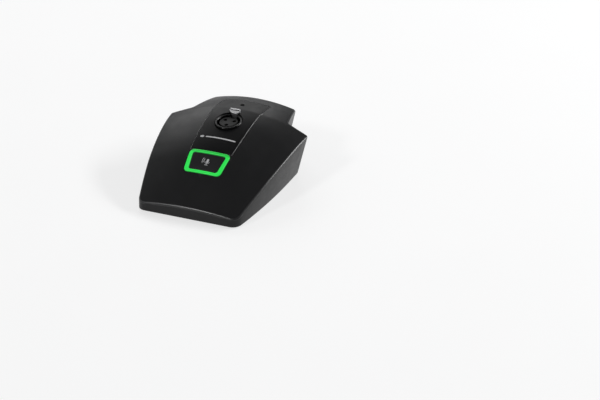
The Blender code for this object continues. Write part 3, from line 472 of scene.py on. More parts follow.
def new_object(name, build, matrix=HOME):
    """Object whose mesh `build` fills in a frame's millimetres."""
    mesh = bmesh.new()
    build(mesh)
    bmesh.ops.transform(mesh, matrix=Matrix.Scale(MM, 4) @ matrix, verts=mesh.verts)
    bmesh.ops.recalc_face_normals(mesh, faces=mesh.faces)
    data = bpy.data.meshes.new(name)
    mesh.to_mesh(data)
    mesh.free()
    made = bpy.data.objects.new(name, data)
    bpy.context.scene.collection.objects.link(made)
    return made


def carve(target, cutters):
    """Cuts out one shape for each (build, matrix) pair."""
    for index, (build, matrix) in enumerate(cutters):
        tool = new_object(f"{target.name}_tool_{index}", build, matrix)
        modifier = target.modifiers.new("cut", "BOOLEAN")
        modifier.operation = "DIFFERENCE"
        modifier.solver = "EXACT"
        modifier.object = tool
        evaluated = target.evaluated_get(bpy.context.evaluated_depsgraph_get())
        carved = bpy.data.meshes.new_from_object(evaluated)
        target.modifiers.clear()
        old = target.data
        target.data = carved
        bpy.data.meshes.remove(old)
        bpy.data.objects.remove(tool, do_unlink=True)


def away_from_holes(x, y):
    """Whether a place on the roof is clear of the openings for the talk button and the socket."""
    return abs(x) > 20.0 or abs(y) > 50.0 or (abs(x) > 16.0 and abs(y - TALK_Y) > 9.6)


def follow_roof(data):
    """Gives a mesh the roof's own normals, and marks the rounded edges just below the roof as polished."""
    wanted = {}
    polish = data.attributes.new("polish", "FLOAT", "POINT")
    for vertex in data.vertices:
        x, y, z = (c / MM for c in vertex.co)
        depth = crown(x, y) - z
        if abs(depth) < 0.02:
            wanted[vertex.index] = crown_normal(x, y)
        elif depth < POLISH_DEPTH and away_from_holes(x, y):
            polish.data[vertex.index].value = 1.0
    normals = [(0.0, 0.0, 0.0)] * len(data.loops)
    for face in data.polygons:
        for index in face.loop_indices:
            normal = wanted.get(data.loops[index].vertex_index)
            if normal is not None and normal.dot(face.normal) > 0.85:
                normals[index] = normal
    data.normals_split_custom_set(normals)


def piece(name, build, look, replaced, matrix=HOME, body="housing", cutters=(), angle=32.0,
          on_roof=False):
    """Finished piece: built, cut, shaded, given its material and tied to the CAD model.

    `angle` is the least fold, in degrees, that stays sharp.
    """
    made = new_object(name, build, matrix)
    carve(made, cutters)
    made.data.shade_smooth()
    made.data.set_sharp_from_angle(angle=math.radians(angle))
    if on_roof:
        follow_roof(made.data)
    made.data.materials.clear()
    made.data.materials.append(LOOKS[look])
    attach(made, body)
    if replaced:
        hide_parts(*replaced)
    return made


# ------------------------------------------------------------------ materials
def tint(colour, factor, lift=0.0):
    """Colour made lighter or darker."""
    return tuple(min(1.0, c * factor + lift) for c in colour)


class Look:
    """Material in the making, with its node tree, its shader and the object coordinates."""

    def __init__(self, name, **values):
        self.material = bpy.data.materials.new(name)
        self.material.use_nodes = True
        self.tree = self.material.node_tree
        self.shader = self.tree.nodes["Principled BSDF"]
        for key, value in values.items():
            self.shade(key.replace("_", " "), value)
        self.place = self.add("ShaderNodeTexCoord").outputs["Object"]

    def feed(self, socket, value):
        """Sets an input to a value or links it to another node's output."""
        if isinstance(value, bpy.types.NodeSocket):
            self.tree.links.new(value, socket)
        else:
            socket.default_value = value

    def shade(self, key, value):
        """Sets or links one input of the shader."""
        self.feed(self.shader.inputs[key], value)

    def add(self, kind, inputs=None, **settings):
        """Node with its settings and inputs."""
        node = self.tree.nodes.new(kind)
        for key, value in settings.items():
            setattr(node, key, value)
        for key, value in (inputs or {}).items():
            self.feed(node.inputs[key], value)
        return node

    def drawn_out(self, stretch):
        """Object coordinates scaled along each axis."""
        return self.add("ShaderNodeMapping", {"Vector": self.place, "Scale": stretch}).outputs["Vector"]

    def noise(self, scale, detail=2.0, place=None):
        """Noise between 0 and 1 at a scale in 1/m."""
        inputs = {"Vector": place or self.place, "Scale": scale, "Detail": detail}
        return self.add("ShaderNodeTexNoise", inputs).outputs["Fac"]

    def ramp(self, value, first, last, low, high):
        """Value that runs from low to high as another runs from first to last."""
        inputs = {"Value": value, "From Min": first, "From Max": last, "To Min": low, "To Max": high}
        return self.add("ShaderNodeMapRange", inputs).outputs["Result"]

    def spread(self, noise, low=0.0, high=1.0):
        """Middle range of a noise, spread between two values."""
        return self.ramp(noise, 0.3, 0.7, low, high)

    def blend(self, share, first, second):
        """Mix of two colours."""
        first, second = [c if isinstance(c, bpy.types.NodeSocket) else (*c, 1.0) for c in (first, second)]
        return self.add("ShaderNodeMix", {0: share, 6: first, 7: second}, data_type="RGBA").outputs[2]

    def paint(self, share, first, second):
        """Base colour between two colours."""
        self.shade("Base Color", self.blend(share, first, second))

    def roughen(self, noise, low, high):
        """Roughness between two values."""
        self.shade("Roughness", self.spread(noise, low, high))

    def relief(self, height, distance, strength):
        """Bump from a height, in metres."""
        node = self.add("ShaderNodeBump", {"Height": height, "Distance": distance, "Strength": strength})
        self.shade("Normal", node.outputs["Normal"])


def plastic(name, colour, roughness, grain=2600.0, depth=0.00003, edge_wear_and_highlight=0.5, specular=0.5):
    """Moulded plastic with a fine spark-eroded grain, faint clouds, polished edges, and sharp convex edges
    painted lighter, partly as wear and partly as painted highlight.
    """
    look = Look(name, Specular_IOR_Level=specular, Coat_Roughness=0.3)
    cloudy = look.blend(look.spread(look.noise(45.0, 3.0)), tint(colour, 0.9), tint(colour, 1.12))
    # Sharp convex edges get a lighter colour: partly edge wear, partly a painted highlight along creases.
    edge = look.ramp(look.add("ShaderNodeNewGeometry").outputs["Pointiness"], 0.53, 0.6, 0.0, edge_wear_and_highlight)
    look.paint(edge, cloudy, tint(colour, 2.6, 0.01))
    look.shade("Coat Weight", look.add("ShaderNodeAttribute", attribute_name="polish").outputs["Fac"])
    fine = look.noise(grain, 3.0)
    touch = look.spread(look.noise(130.0), roughness - 0.03, roughness + 0.03)
    rough = look.add("ShaderNodeMath", {0: touch, 1: look.spread(fine, -0.02, 0.03)}, operation="ADD")
    look.shade("Roughness", rough.outputs[0])
    look.relief(fine, depth, 0.6)
    return look.material


def rubber(name, colour):
    """Soft matt rubber with a coarse grain and dust."""
    look = Look(name, Specular_IOR_Level=0.3)
    look.paint(look.spread(look.noise(260.0, 4.0), 0.0, 0.5), colour, tint(colour, 1.8, 0.01))
    look.roughen(look.noise(900.0), 0.75, 0.92)
    look.relief(look.noise(1800.0), 0.00005, 0.5)
    return look.material


def metal(name, colour, roughness, stretch=(1.0, 1.0, 1.0)):
    """Metal with fine brushed or tumbled marks, drawn out along an axis by `stretch`."""
    look = Look(name, Metallic=1.0)
    marks = look.noise(2400.0, 4.0, look.drawn_out(stretch))
    look.paint(look.spread(look.noise(220.0, 3.0)), tint(colour, 0.82), colour)
    look.roughen(marks, roughness - 0.06, roughness + 0.08)
    look.relief(marks, 0.00001, 0.5)
    return look.material


def glowing(name):
    """Green light guide: frosted plastic lit from behind, dimmer at its rim and along its rear bar."""
    look = Look(name, Roughness=0.35)
    lamps = look.spread(look.noise(95.0, 1.0))
    look.shade("Emission Color", look.blend(lamps, (0.012, 0.52, 0.05), (0.02, 0.6, 0.075)))
    normal = look.add("ShaderNodeNewGeometry").outputs["Normal"]
    outward = TALK.to_3x3().col[2]
    facing = look.add("ShaderNodeVectorMath", {0: normal, 1: outward}, operation="DOT_PRODUCT")
    level = look.ramp(facing.outputs["Value"], 0.2, 0.95, 0.55, 1.0)
    rear = TALK_Y + RING_OUTER[2] * math.cos(TALK_TILT)
    along = look.add("ShaderNodeSeparateXYZ", {"Vector": look.place}).outputs["Y"]
    dim = look.ramp(along, (rear - 2.6) * MM, (rear - 0.8) * MM, 1.0, 0.5)
    strength = look.add("ShaderNodeMath", {0: level, 1: dim}, operation="MULTIPLY")
    look.shade("Emission Strength", strength.outputs[0])
    frost = look.noise(3000.0)
    look.paint(frost, (0.01, 0.30, 0.03), (0.02, 0.36, 0.05))
    look.relief(frost, 0.00002, 0.4)
    return look.material


def printed(name, colour):
    """Screen-printed ink, slightly uneven."""
    look = Look(name, Roughness=0.55)
    look.paint(look.spread(look.noise(1500.0)), tint(colour, 0.8), colour)
    return look.material


def gloss(name, colour, roughness=0.08):
    """Glossy window or lens with a few fine scratches."""
    look = Look(name, Coat_Weight=0.3, Coat_Roughness=0.05)
    look.paint(look.spread(look.noise(60.0, 3.0)), colour, tint(colour, 1.4))
    look.roughen(look.noise(60.0, 3.0, look.drawn_out((40.0, 1.0, 1.0))), roughness, roughness + 0.06)
    return look.material


def circuit(name, colour):
    """Circuit board: solder mask over copper tracks, with tinned pads."""
    look = Look(name)
    cells = look.add("ShaderNodeTexVoronoi", {"Vector": look.place, "Scale": 420.0, "Randomness": 0.35},
                     distance="CHEBYCHEV").outputs["Distance"]
    pads = look.add("ShaderNodeMath", {0: cells, 1: 0.2}, operation="LESS_THAN").outputs[0]
    colours = {"Color1": (*colour, 1.0), "Color2": (*tint(colour, 0.85), 1.0),
               "Mortar": (*tint(colour, 1.9, 0.01), 1.0)}
    tracks = look.add("ShaderNodeTexBrick",
                      {"Vector": look.place, "Scale": 260.0, "Mortar Size": 0.03, **colours})
    look.paint(pads, tracks.outputs["Color"], (0.6, 0.58, 0.52))
    look.shade("Metallic", pads)
    look.roughen(look.noise(500.0), 0.35, 0.5)
    look.relief(tracks.outputs["Fac"], 0.00003, 0.6)
    return look.material


def winding(name):
    """Flat copper coil: enamelled turns side by side about the coil's own centre."""
    look = Look(name, Metallic=1.0)
    low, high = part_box("charging_coil")
    local = look.add("ShaderNodeMapping", {"Vector": look.place, "Location": -(low + high) / 2})
    rings = look.add("ShaderNodeTexWave", {"Vector": local.outputs["Vector"], "Scale": 260.0},
                     wave_type="RINGS", rings_direction="Z").outputs["Fac"]
    look.paint(rings, (0.35, 0.13, 0.05), (0.8, 0.4, 0.2))
    look.roughen(look.noise(700.0), 0.28, 0.4)
    look.relief(rings, 0.0001, 0.8)
    return look.material


def make_looks():
    """All materials, by name."""
    brushed = (12.0, 1.0, 1.0)
    return {
        "shell": plastic("charcoal_shell", (0.012, 0.012, 0.0125), 0.38, specular=0.26),
        "strip": plastic("charcoal_strip", (0.005, 0.005, 0.0053), 0.4, 4200.0, 0.00001, specular=0.14),
        "base": plastic("charcoal_base", (0.018, 0.018, 0.019), 0.6, grain=1700.0, depth=0.00006),
        "button": plastic("charcoal_button", (0.014, 0.014, 0.0145), 0.4, 3600.0, 0.00001, specular=0.35),
        "ring": plastic("black_ring", (0.002, 0.002, 0.002), 0.24, 5200.0, 0.000005, edge_wear_and_highlight=0.0, specular=0.2),
        "insert": plastic("black_insert", (0.0015, 0.0015, 0.0015), 0.4, edge_wear_and_highlight=0.0, specular=0.1),
        "pale": plastic("pale_plastic", (0.62, 0.62, 0.6), 0.45, edge_wear_and_highlight=0.0),
        "switch": plastic("switch_plastic", (0.02, 0.02, 0.02), 0.4, edge_wear_and_highlight=0.0),
        "rubber": rubber("foot_rubber_look", (0.02, 0.02, 0.02)),
        "gasket": rubber("gasket_rubber_look", (0.03, 0.03, 0.03)),
        "glow": glowing("ring_glow"),
        "ink": printed("grey_ink", (0.68, 0.68, 0.69)),
        "window": gloss("smoked_window", (0.006, 0.006, 0.008)),
        "lens": gloss("dark_lens", (0.004, 0.004, 0.004)),
        "display": gloss("display_glass_look", (0.02, 0.03, 0.035), 0.15),
        "tab": metal("tab_steel", (0.56, 0.56, 0.57), 0.5, brushed),
        "steel": metal("plain_steel", (0.42, 0.42, 0.43), 0.34),
        "bright": metal("bright_steel_look", (0.62, 0.62, 0.63), 0.28, brushed),
        "tin": metal("tinned_shield", (0.66, 0.67, 0.68), 0.3, (1.0, 8.0, 1.0)),
        "blackened": metal("blackened_metal", (0.07, 0.07, 0.075), 0.36),
        "gold": metal("contact_gold_look", (0.86, 0.62, 0.26), 0.22),
        "board": circuit("board_look", (0.012, 0.09, 0.04)),
        "antenna": circuit("antenna_look", (0.012, 0.05, 0.11)),
        "coil": winding("coil_look"),
        "ferrite": rubber("ferrite_look", (0.035, 0.035, 0.04)),
        "battery": gloss("battery_wrap_look", (0.03, 0.07, 0.2), 0.3),
        "ribbon": gloss("ribbon_look", (0.42, 0.2, 0.05), 0.35),
        "lead": plastic("lead_look", (0.3, 0.05, 0.04), 0.4, edge_wear_and_highlight=0.0),
    }


LOOKS = make_looks()

# CAD nodes that stay as they are, by material
INNER_LOOKS = {
    "steel": ("ballast_plate", "board_screw_1", "board_screw_2", "bracket_screw_1", "bracket_screw_2"),
    "bright": ("socket_bracket", "latch_hook"),
    "tin": ("rf_shield", "charger_shield"),
    "gold": ("battery_contacts",),
    "board": ("main_board", "talk_board", "rear_board"),
    "antenna": ("antenna_left", "antenna_right"),
    "coil": ("charging_coil",),
    "ferrite": ("ferrite_sheet",),
    "battery": ("battery_pack",),
    "lead": ("coil_lead",),
    "ribbon": ("ribbon_cable",),
    "display": ("display_module",),
    "pale": ("talk_guide", "talk_plunger", "ring_lamps"),
    "switch": ("socket_lead", "talk_switch", "power_switch", "set_switch"),
    "gasket": ("socket_gasket",),
}


# ------------------------------------------------------------------ housing
def ceiling(x, y):
    """Height of the roof's inner surface."""
    return crown(x, y) - ROOF / crown_normal(x, y).z


def build_cover(mesh):
    """Roof, rounded crease, flared walls, lower edge and the inside of the top shell."""
    middle = Vector((0.0, STAR_Y))
    roof, sizes = body_outline(ROOF_CORNERS)
    base, _ = body_outline(BASE_CORNERS)
    sizes = even(even(sizes, 2), 2)
    brim = inset(roof, sizes)
    far = scaled(roof, middle, 0.84)
    scales = [0.06] + [0.14 + 0.035 * k for k in range(20)]
    rings = [ring3(scaled(roof, middle, scale), crown) for scale in scales]
    rings += [ring3(blended(brim, far, share), crown) for share in (1.0, 0.72, 0.5, 0.32, 0.18, 0.08, 0.03)]
    crease, foot = ring3(roof, crown), ring3(base, UNDERSIDE_Z)
    on_wall = [top + (low - top).normalized() * size for top, low, size in zip(crease, foot, sizes)]
    rings += bent(ring3(brim, crown), crease, on_wall, [k / 8 for k in range(9)])
    rings += [blended(on_wall, foot, share) for share in (0.03, 0.1, 0.22, 0.4, 0.58, 0.76, 0.9, 0.965)]
    rings += bent(rings[-1], foot, ring3(inset(base, 0.45), UNDERSIDE_Z), [k / 4 for k in range(1, 5)])
    upper, _ = body_outline(ROOF_CORNERS, WALL + 0.3)
    inner_foot = ring3(body_outline(BASE_CORNERS, WALL)[0], UNDERSIDE_Z)
    inner_top = ring3(upper, ceiling)
    rings += [inner_foot] + [blended(inner_foot, inner_top, share) for share in (0.03, 0.5)] + [inner_top]
    rings += [ring3(scaled(upper, middle, scale), ceiling) for scale in (0.88, 0.7, 0.5, 0.3, 0.12)]
    loft(mesh, rings)


def strip_half(y):
    """Half width of the centre strip."""
    return STRIP_HALF - STRIP_TAPER * (y - STRIP_WIDEST_Y) ** 2


def strip_outline(grow=0.0):
    """Outline of the centre strip, grown on all sides."""
    front, rear = STRIP_FRONT_Y, STRIP_REAR_Y
    right = [(strip_half(front), front, 0.6, 5, 0)]
    right += [(strip_half(y), y, 0, 1, 0) for y in range(-16, 49, 4)]
    right.append((strip_half(rear), rear, STRIP_CORNER, 9, 0))
    corners = right + [(-x, y, r, n, v) for x, y, r, n, v in reversed(right)]
    return inset(divided([p for p, _ in rounded(corners)], SPACING), -grow)


def strip_slab(mesh, levels):
    """Skin over rings of the strip's outline, each given as (growth, depth, scale about the socket)."""
    middle = Vector((0.0, SOCKET_Y))
    loft(mesh, [[lifted(*p, depth) for p in scaled(strip_outline(grow), middle, scale)]
                for grow, depth, scale in levels])


def build_strip_pocket(mesh):
    """Cutter for the strip's pocket, with a rounded edge all round."""
    steps = quarter(0.35)[:-1]
    wide = SEAM + steps[-1][0] + 0.5
    scales = [0.1 + 0.09 * k for k in range(11)]
    levels = [(SEAM, -(STRIP_THICK + SEAM), scale) for scale in scales]
    levels += [(SEAM + out, -down, 1.0) for out, down in steps]
    levels.append((wide, 0.4, 1.0))
    levels += [(wide, 3.0, scale) for scale in reversed(scales)]
    strip_slab(mesh, levels)


def build_strip(mesh):
    """Centre strip with rounded edges."""
    levels = [(0.0, -STRIP_THICK, scale) for scale in (0.1, 0.4, 0.7, 1.0)]
    levels += [(-inward, -down, 1.0) for inward, down in quarter(STRIP_EDGE)]
    levels += [(-STRIP_EDGE, 0.0, 0.1 + 0.045 * k) for k in reversed(range(20))]
    strip_slab(mesh, levels)


def tab_outline(grow=0.0):
    """Release tab from above: narrow in front, widest in the middle; its points match for every size."""
    corners = [(x, v, r) for x, v, r in TAB] + [(-x, v, r) for x, v, r in reversed(TAB)]
    places = inset([Vector(corner[:2]) for corner in corners], -grow)
    return [p for p, _ in rounded([(p.x, p.y, corner[2], 7, 0) for p, corner in zip(places, corners)])]


def neck_outline(grow=0.0):
    """Gap between the tab's slot and the socket's well, grown sideways."""
    low, high = WELL_R - 1.5, TAB[0][1] + 0.8
    half = NECK_HALF + grow
    return [Vector(p) for p in ((-half, low), (half, low), (half, high), (-half, high))]


def talk_hole(edge):
    """Cutter for the light ring's hole."""
    return flared(lambda grow: trapezoid(RING_OUTER, SEAM + grow), talk_surface, *TALK_CUT, edge), TALK


def build_mark(mesh):
    """Generic mark, printed across the strip."""
    for first, last, width in MARK_RUNS:
        rings = []
        for k in range(33):
            x = first + (last - first) * k / 32
            depth = max(0.0, width / 2 - min(x - first, last - x))
            reach = math.sqrt(max(width ** 2 / 4 - depth ** 2, 0.01))
            low, high = MARK_Y - reach, MARK_Y + reach
            rings.append([lifted(x, low, -INK_DEPTH), lifted(x, high, -INK_DEPTH),
                          lifted(x, high, INK_RISE), lifted(x, low, INK_RISE)])
        loft(mesh, rings)


def make_housing():
    """Top shell, centre strip with its mark, and status window."""
    cuts = [(build_strip_pocket, HOME), talk_hole(0.3)]
    cuts += [(prism(outline, *SOCKET_CUT), SOCKET)
             for outline in (circle(RING_R + 0.5), tab_outline(0.7), neck_outline(0.3))]
    cuts.append((prism(circle(STATUS_R + 0.5, STATUS_AT, 32), *STATUS_CUT), HOME))
    width, height, radius = REAR_PANEL
    opening = grown_rectangle(width + 2 * SEAM, height + 2 * SEAM, radius + SEAM)
    cuts.append((flared(opening, 0.0, -8.0, 4.0, 0.35), REAR))
    piece("housing_cover", build_cover, "shell", ["top_shell"],
          cutters=cuts, angle=38.0, on_roof=True)

    low, high = SOCKET_CUT
    cuts = [talk_hole(0.25),
            (flared(grown_circle(RING_R + SEAM), socket_surface, low, high, 0.3), SOCKET),
            (flared(lambda grow: tab_outline(TAB_CLEARANCE + grow), socket_surface, low, high, 0.25), SOCKET),
            (flared(neck_outline, socket_surface, low, high + 0.5, 0.2), SOCKET),
            (flared(grown_circle(STATUS_R + 0.05, STATUS_AT, 48), crown, *STATUS_CUT, 0.35), HOME)]
    piece("trim_strip", build_strip, "strip", ["centre_strip"],
          cutters=cuts, angle=38.0, on_roof=True)
    piece("strip_line", build_mark, "ink", [])

    rim = cad_crown(STATUS_AT[1]) - 1.3
    lens = [(STATUS_R, rim - 1.9), (STATUS_R, rim)]
    for k in range(1, 8):
        angle = math.pi / 2 * k / 8
        lens.append((STATUS_R * math.cos(angle), rim + 0.5 * math.sin(angle)))
    piece("status_window", turned(lens, STATUS_AT, 48), "lens", ["status_lens"])


# ------------------------------------------------------------------ talk button
def face_of_key(u, v):
    """Height of the talk button's dished face."""
    rear, _, height, _ = RING_INNER
    across = min(1.0, (u / (rear - 1.0)) ** 2)
    along = min(1.0, (v / height) ** 2)
    return talk_surface(u, v) + KEY_PROUD - KEY_DISH * (1.0 - across) * (1.0 - along)


def build_ring(mesh):
    """Light ring with rounded edges inside and outside."""
    top = over(talk_surface, RING_PROUD)
    outer, inner = trapezoid(RING_OUTER, -RING_EDGE), trapezoid(RING_INNER, RING_EDGE)
    rings = [ring3(trapezoid(RING_OUTER), RING_FOOT)]
    rings += rounded_rim(lambda grow: trapezoid(RING_OUTER, grow), top, RING_EDGE, 6)
    rings += [ring3(blended(outer, inner, share), top) for share in (0.33, 0.67)]
    rings += reversed(rounded_rim(lambda grow: trapezoid(RING_INNER, grow), top, RING_EDGE, 6, side=1))
    rings.append(ring3(trapezoid(RING_INNER), RING_FOOT))
    loft(mesh, rings, closed=True)


def build_key(mesh):
    """Talk button with a dished face, and a lip that holds it under the ring."""
    lip = trapezoid(RING_INNER, KEY_LIP)
    rings = [ring3(lip, KEY_FOOT), ring3(lip, KEY_LIP_TOP),
             ring3(trapezoid(RING_INNER, -KEY_GAP), KEY_LIP_TOP)]
    rings += rounded_rim(lambda grow: trapezoid(RING_INNER, grow - KEY_GAP), face_of_key, KEY_EDGE, 6)
    rim = trapezoid(RING_INNER, -KEY_GAP - KEY_EDGE)
    rings += [ring3([p * scale for p in rim], face_of_key)
              for scale in (0.97, 0.9, 0.8, 0.68, 0.55, 0.42, 0.3, 0.18, 0.08)]
    loft(mesh, rings)


def stroke(mesh, points, width):
    """Printed line of even width on the key's face, with square ends."""
    rings = []
    for i, here in enumerate(points):
        along = (points[min(i + 1, len(points) - 1)] - points[max(i - 1, 0)]).normalized()
        side = Vector((-along.y, along.x)) * width / 2
        a, b = here + side, here - side
        rings.append([Vector((*p, face_of_key(*p) + rise))
                      for p, rise in ((a, -INK_DEPTH), (b, -INK_DEPTH), (b, INK_RISE), (a, INK_RISE))])
    loft(mesh, rings)


def arc(centre, radius, first, last, count=20):
    """Points on an arc between two angles in degrees."""
    turns = [math.radians(first + (last - first) * k / (count - 1)) for k in range(count)]
    return [Vector((centre[0] + radius * math.cos(t), centre[1] + radius * math.sin(t))) for t in turns]


def build_symbol(mesh):
    """Microphone capsule in its holder, with two waves beside it."""
    x, y = 1.1, 1.3
    capsule = divided(rectangle(2.0, 3.9, 0.98, (x, y)), 0.5)
    loft(mesh, [ring3(capsule, over(face_of_key, rise)) for rise in (-INK_DEPTH, INK_RISE)])
    stroke(mesh, arc((x, y - 0.6), 1.95, 180.0, 360.0), 0.45)
    stroke(mesh, [Vector((x, y - 2.7)), Vector((x, y - 3.8))], 0.5)
    stroke(mesh, [Vector((x - 1.5, y - 4.0)), Vector((x + 1.5, y - 4.0))], 0.45)
    for radius in (3.3, 4.7):
        stroke(mesh, arc((x, y), radius, 148.0, 212.0), 0.45)


def make_talk():
    """Light ring, talk button and the symbol printed on it."""
    piece("talk_light", build_ring, "glow", ["light_ring"], TALK)
    piece("talk_key", build_key, "button", ["talk_button"], TALK, "talk")
    piece("talk_symbol", build_symbol, "ink", [], TALK, "talk")


# ------------------------------------------------------------------ microphone socket
def contact_places():
    """Three contacts on a circle, the middle one towards the front."""
    turns = (math.radians(a) for a in (30.0, 150.0, 270.0))
    return [(CONTACT_CIRCLE_R * math.cos(t), CONTACT_CIRCLE_R * math.sin(t)) for t in turns]


def make_socket():
    """Socket ring, shell, insert and contacts."""
    ring = [(WELL_R, -6.6), (RING_R, -6.6), (RING_R, -0.5), (RING_R - 0.5, 0.0), (RING_R - 0.8, 0.0),
            (RING_R - 0.9, -0.18), (RING_R - 1.1, -0.18), (RING_R - 1.2, 0.0), (WELL_R + 0.45, 0.0),
            (WELL_R, -0.5)]
    notch = flared(neck_outline, 0.0, NECK_FLOOR, 2.0, 0.15)
    piece("mic_socket_ring", turned(soften(ring, 0.06), closed=True), "ring", ["socket_ring"],
          SOCKET, cutters=[(notch, SOCKET)])

    shell = [(11.4, -21.0), (11.4, -10.0), (14.2, -10.0), (14.2, -8.5), (WELL_R, -8.5), (WELL_R, -19.5)]
    cuts = [prism(circle(CONTACT_R + 0.3, place, 32), -23.0, -18.0) for place in contact_places()]
    cuts.append(prism(rectangle(4.8, 5.0, 0.4, (0.0, 10.5)), -16.4, -13.6))
    piece("mic_socket_shell", turned(shell), "blackened", ["socket_shell"],
          SOCKET, cutters=[(cut, SOCKET) for cut in cuts])

    insert = [(INSERT_R - 0.5, -19.2), (INSERT_R, -18.7)]
    insert += [(INSERT_R - inward, INSERT_FACE - down) for inward, down in quarter(0.5)]
    dish = INSERT_FACE - 0.2
    insert += [(INSERT_R - 1.3, INSERT_FACE), (INSERT_R - 1.4, dish), (INSERT_R - 2.0, dish)]
    cuts = [flared(grown_circle(CONTACT_R + 0.3, place, 40), dish, -22.0, 3.0, 0.35)
            for place in contact_places()]
    cuts.append(prism(rectangle(2.2, 2.6, 0.5, (0.0, INSERT_R)), -7.0, 3.0))
    piece("mic_socket_insert", turned(insert), "insert", ["socket_insert"],
          SOCKET, cutters=[(cut, SOCKET) for cut in cuts])

    contact = [(0.62, -8.0), (0.62, -2.7), (0.72, -2.6), (CONTACT_R - 0.1, -2.6), (CONTACT_R, -2.75),
               (CONTACT_R, -18.8), (CONTACT_R - 0.2, -19.0), (0.5, -19.0), (0.5, -23.3), (0.35, -23.5)]
    for index, place in enumerate(contact_places(), 1):
        piece(f"mic_contact_{index}", turned(contact, place, 32), "gold", [f"socket_contact_{index}"],
              SOCKET)


def tab_face(x, v):
    """Height of the release tab's sloping face."""
    share = (v - TAB[0][1]) / (TAB[-1][1] - TAB[0][1])
    return TAB_FRONT + (TAB_TOP - TAB_FRONT) * share


def build_tab(mesh):
    """Release tab: a flange under the shell, and a sloping face with a shallow recess inside its rim."""
    prism(rectangle(*TAB_FLANGE, TAB_FLANGE_AT), -5.0, -3.2)(mesh)
    rings = [ring3(tab_outline(), -3.4)] + rounded_rim(tab_outline, tab_face, 0.4)
    for inward, down in ((0.65, 0.0), (0.75, 0.1), (0.85, 0.12), (1.0, 0.12)):
        rings.append(ring3(tab_outline(-inward), over(tab_face, -down)))
    loft(mesh, rings)


def make_release():
    """Push tab behind the socket."""
    piece("release_tab", build_tab, "tab", ["release_button"], SOCKET, "release")


def build_coil(place, radius, wire, low, high, turns):
    """Builder of a coil spring between two heights, with flat ends."""
    around = [2 * math.pi * j / 10 for j in range(10)]
    steps = 24 * turns
    rings = []
    for k in range(steps + 1):
        angle = 2 * math.pi * k / 24
        out = Vector((math.cos(angle), math.sin(angle), 0.0))
        share = min(max((k - 6) / (steps - 12), 0.0), 1.0)
        middle = Vector((*place, low + wire + (high - low - 2 * wire) * share)) + out * radius
        rings.append([middle + out * wire * math.cos(t) + Vector((0.0, 0.0, wire * math.sin(t)))
                      for t in around])
    return lambda mesh: loft(mesh, rings)


def make_springs():
    """Return springs of the talk button and the release tab, each with a mesh of its own."""
    for name, node, joint, matrix, place, radius, wire, low, high, turns in SPRINGS:
        coil = build_coil(place, radius, wire, low, high, turns)
        made = piece(name, coil, "bright", [node], matrix, angle=60.0)
        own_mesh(made)


# ------------------------------------------------------------------ rear panel
def build_rear_plate(mesh):
    """Rear panel with a flange behind the wall."""
    width, height, radius = REAR_PANEL
    flange = rectangle(width + 4.0, height + 3.0, radius, count=10)
    plug = rectangle(width, height, radius, count=10)
    rings = [ring3(flange, FLANGE_BACK), ring3(flange, FLANGE_FRONT), ring3(plug, FLANGE_FRONT)]
    rings += [ring3(inset(plug, inward), PANEL_FACE - down) for inward, down in quarter(0.4)]
    loft(mesh, rings)


def build_port(mesh):
    """Charging port: a thin metal shell round a tongue."""
    opening = grown_rectangle(*PORT_SHELL, PORT_AT, 10)
    outer, inner = opening(0.0), opening(-0.3)
    loft(mesh, [ring3(outer, -7.2), ring3(outer, -0.9), ring3(inset(outer, 0.08), -0.8),
                ring3(inset(outer, 0.22), -0.8), ring3(inner, -0.9), ring3(inner, -6.4)])
    tongue = rectangle(*PORT_TONGUE, PORT_AT, 4)
    loft(mesh, [ring3(tongue, -6.5), ring3(tongue, -2.2), ring3(inset(tongue, 0.1), -2.0)])


def make_rear():
    """Rear panel, display window, port and two buttons."""
    display = grown_rectangle(*DISPLAY_OPENING, DISPLAY_AT)
    openings = [display, grown_rectangle(*PORT_OPENING, PORT_AT)]
    for radius, place in ((POWER_R, POWER_AT), (SET_R, SET_AT)):
        openings.append(grown_circle(radius + BUTTON_GAP, place, 64))
    piece("rear_plate", build_rear_plate, "base", ["rear_panel"], REAR,
          cutters=[(flared(shape, PANEL_FACE, -6.0, 2.0, 0.3), REAR) for shape in openings])

    pane, top, edge = display(-WINDOW_GAP), PANEL_FACE - 0.2, 0.25
    rings = [ring3(pane, -1.8)] + [ring3(inset(pane, inward), top - down) for inward, down in quarter(edge)]
    piece("rear_window", lambda mesh: loft(mesh, rings), "window", ["display_window"], REAR)
    piece("rear_port", build_port, "bright", ["charge_port"], REAR)

    for name, place, r, body, node in (("power_key", POWER_AT, POWER_R, "power", "power_button"),
                                       ("set_key", SET_AT, SET_R, "set", "set_button")):
        sizes = [(r + 1.1, -5.5), (r + 1.1, -4.2), (r, -4.2)]
        sizes += [(r - inward, BUTTON_TOP - down) for inward, down in quarter(0.45)]
        sizes += [(r * share, BUTTON_TOP - 0.25 * (1 - share ** 2)) for share in (0.75, 0.55, 0.35, 0.15)]
        piece(name, turned(sizes, place, 64), "button", [node], REAR, body)


# ------------------------------------------------------------------ underside
def build_base(mesh):
    """Bottom cover with a rib round its inside."""
    levels = [(WALL + 0.3 + inward, UNDERSIDE_Z + up) for inward, up in reversed(quarter(0.4, 4))]
    levels += [(3.2, 3.8), (4.1, 3.8), (4.1, 5.4), (5.5, 5.4), (5.5, 3.8)]
    loft(mesh, [ring3(body_outline(BASE_CORNERS, inward)[0], z) for inward, z in levels])


def build_door(mesh):
    """Battery cover with a rounded lower edge."""
    outline = rectangle(*COVER, COVER_AT)
    rings = [ring3(inset(outline, inward), UNDERSIDE_Z + up) for inward, up in reversed(quarter(0.3))]
    loft(mesh, rings + [ring3(outline, COVER_TOP)])


def cross(place, half, wide, turn, low):
    """Builder of one arm of a screw's cross recess."""
    corners = [Vector(p) for p in ((-half, -wide), (half, -wide), (half, wide), (-half, wide))]
    spun = [Matrix.Rotation(turn, 2) @ p + Vector(place) for p in corners]
    return prism(spun, low - 0.5, low + 0.65)


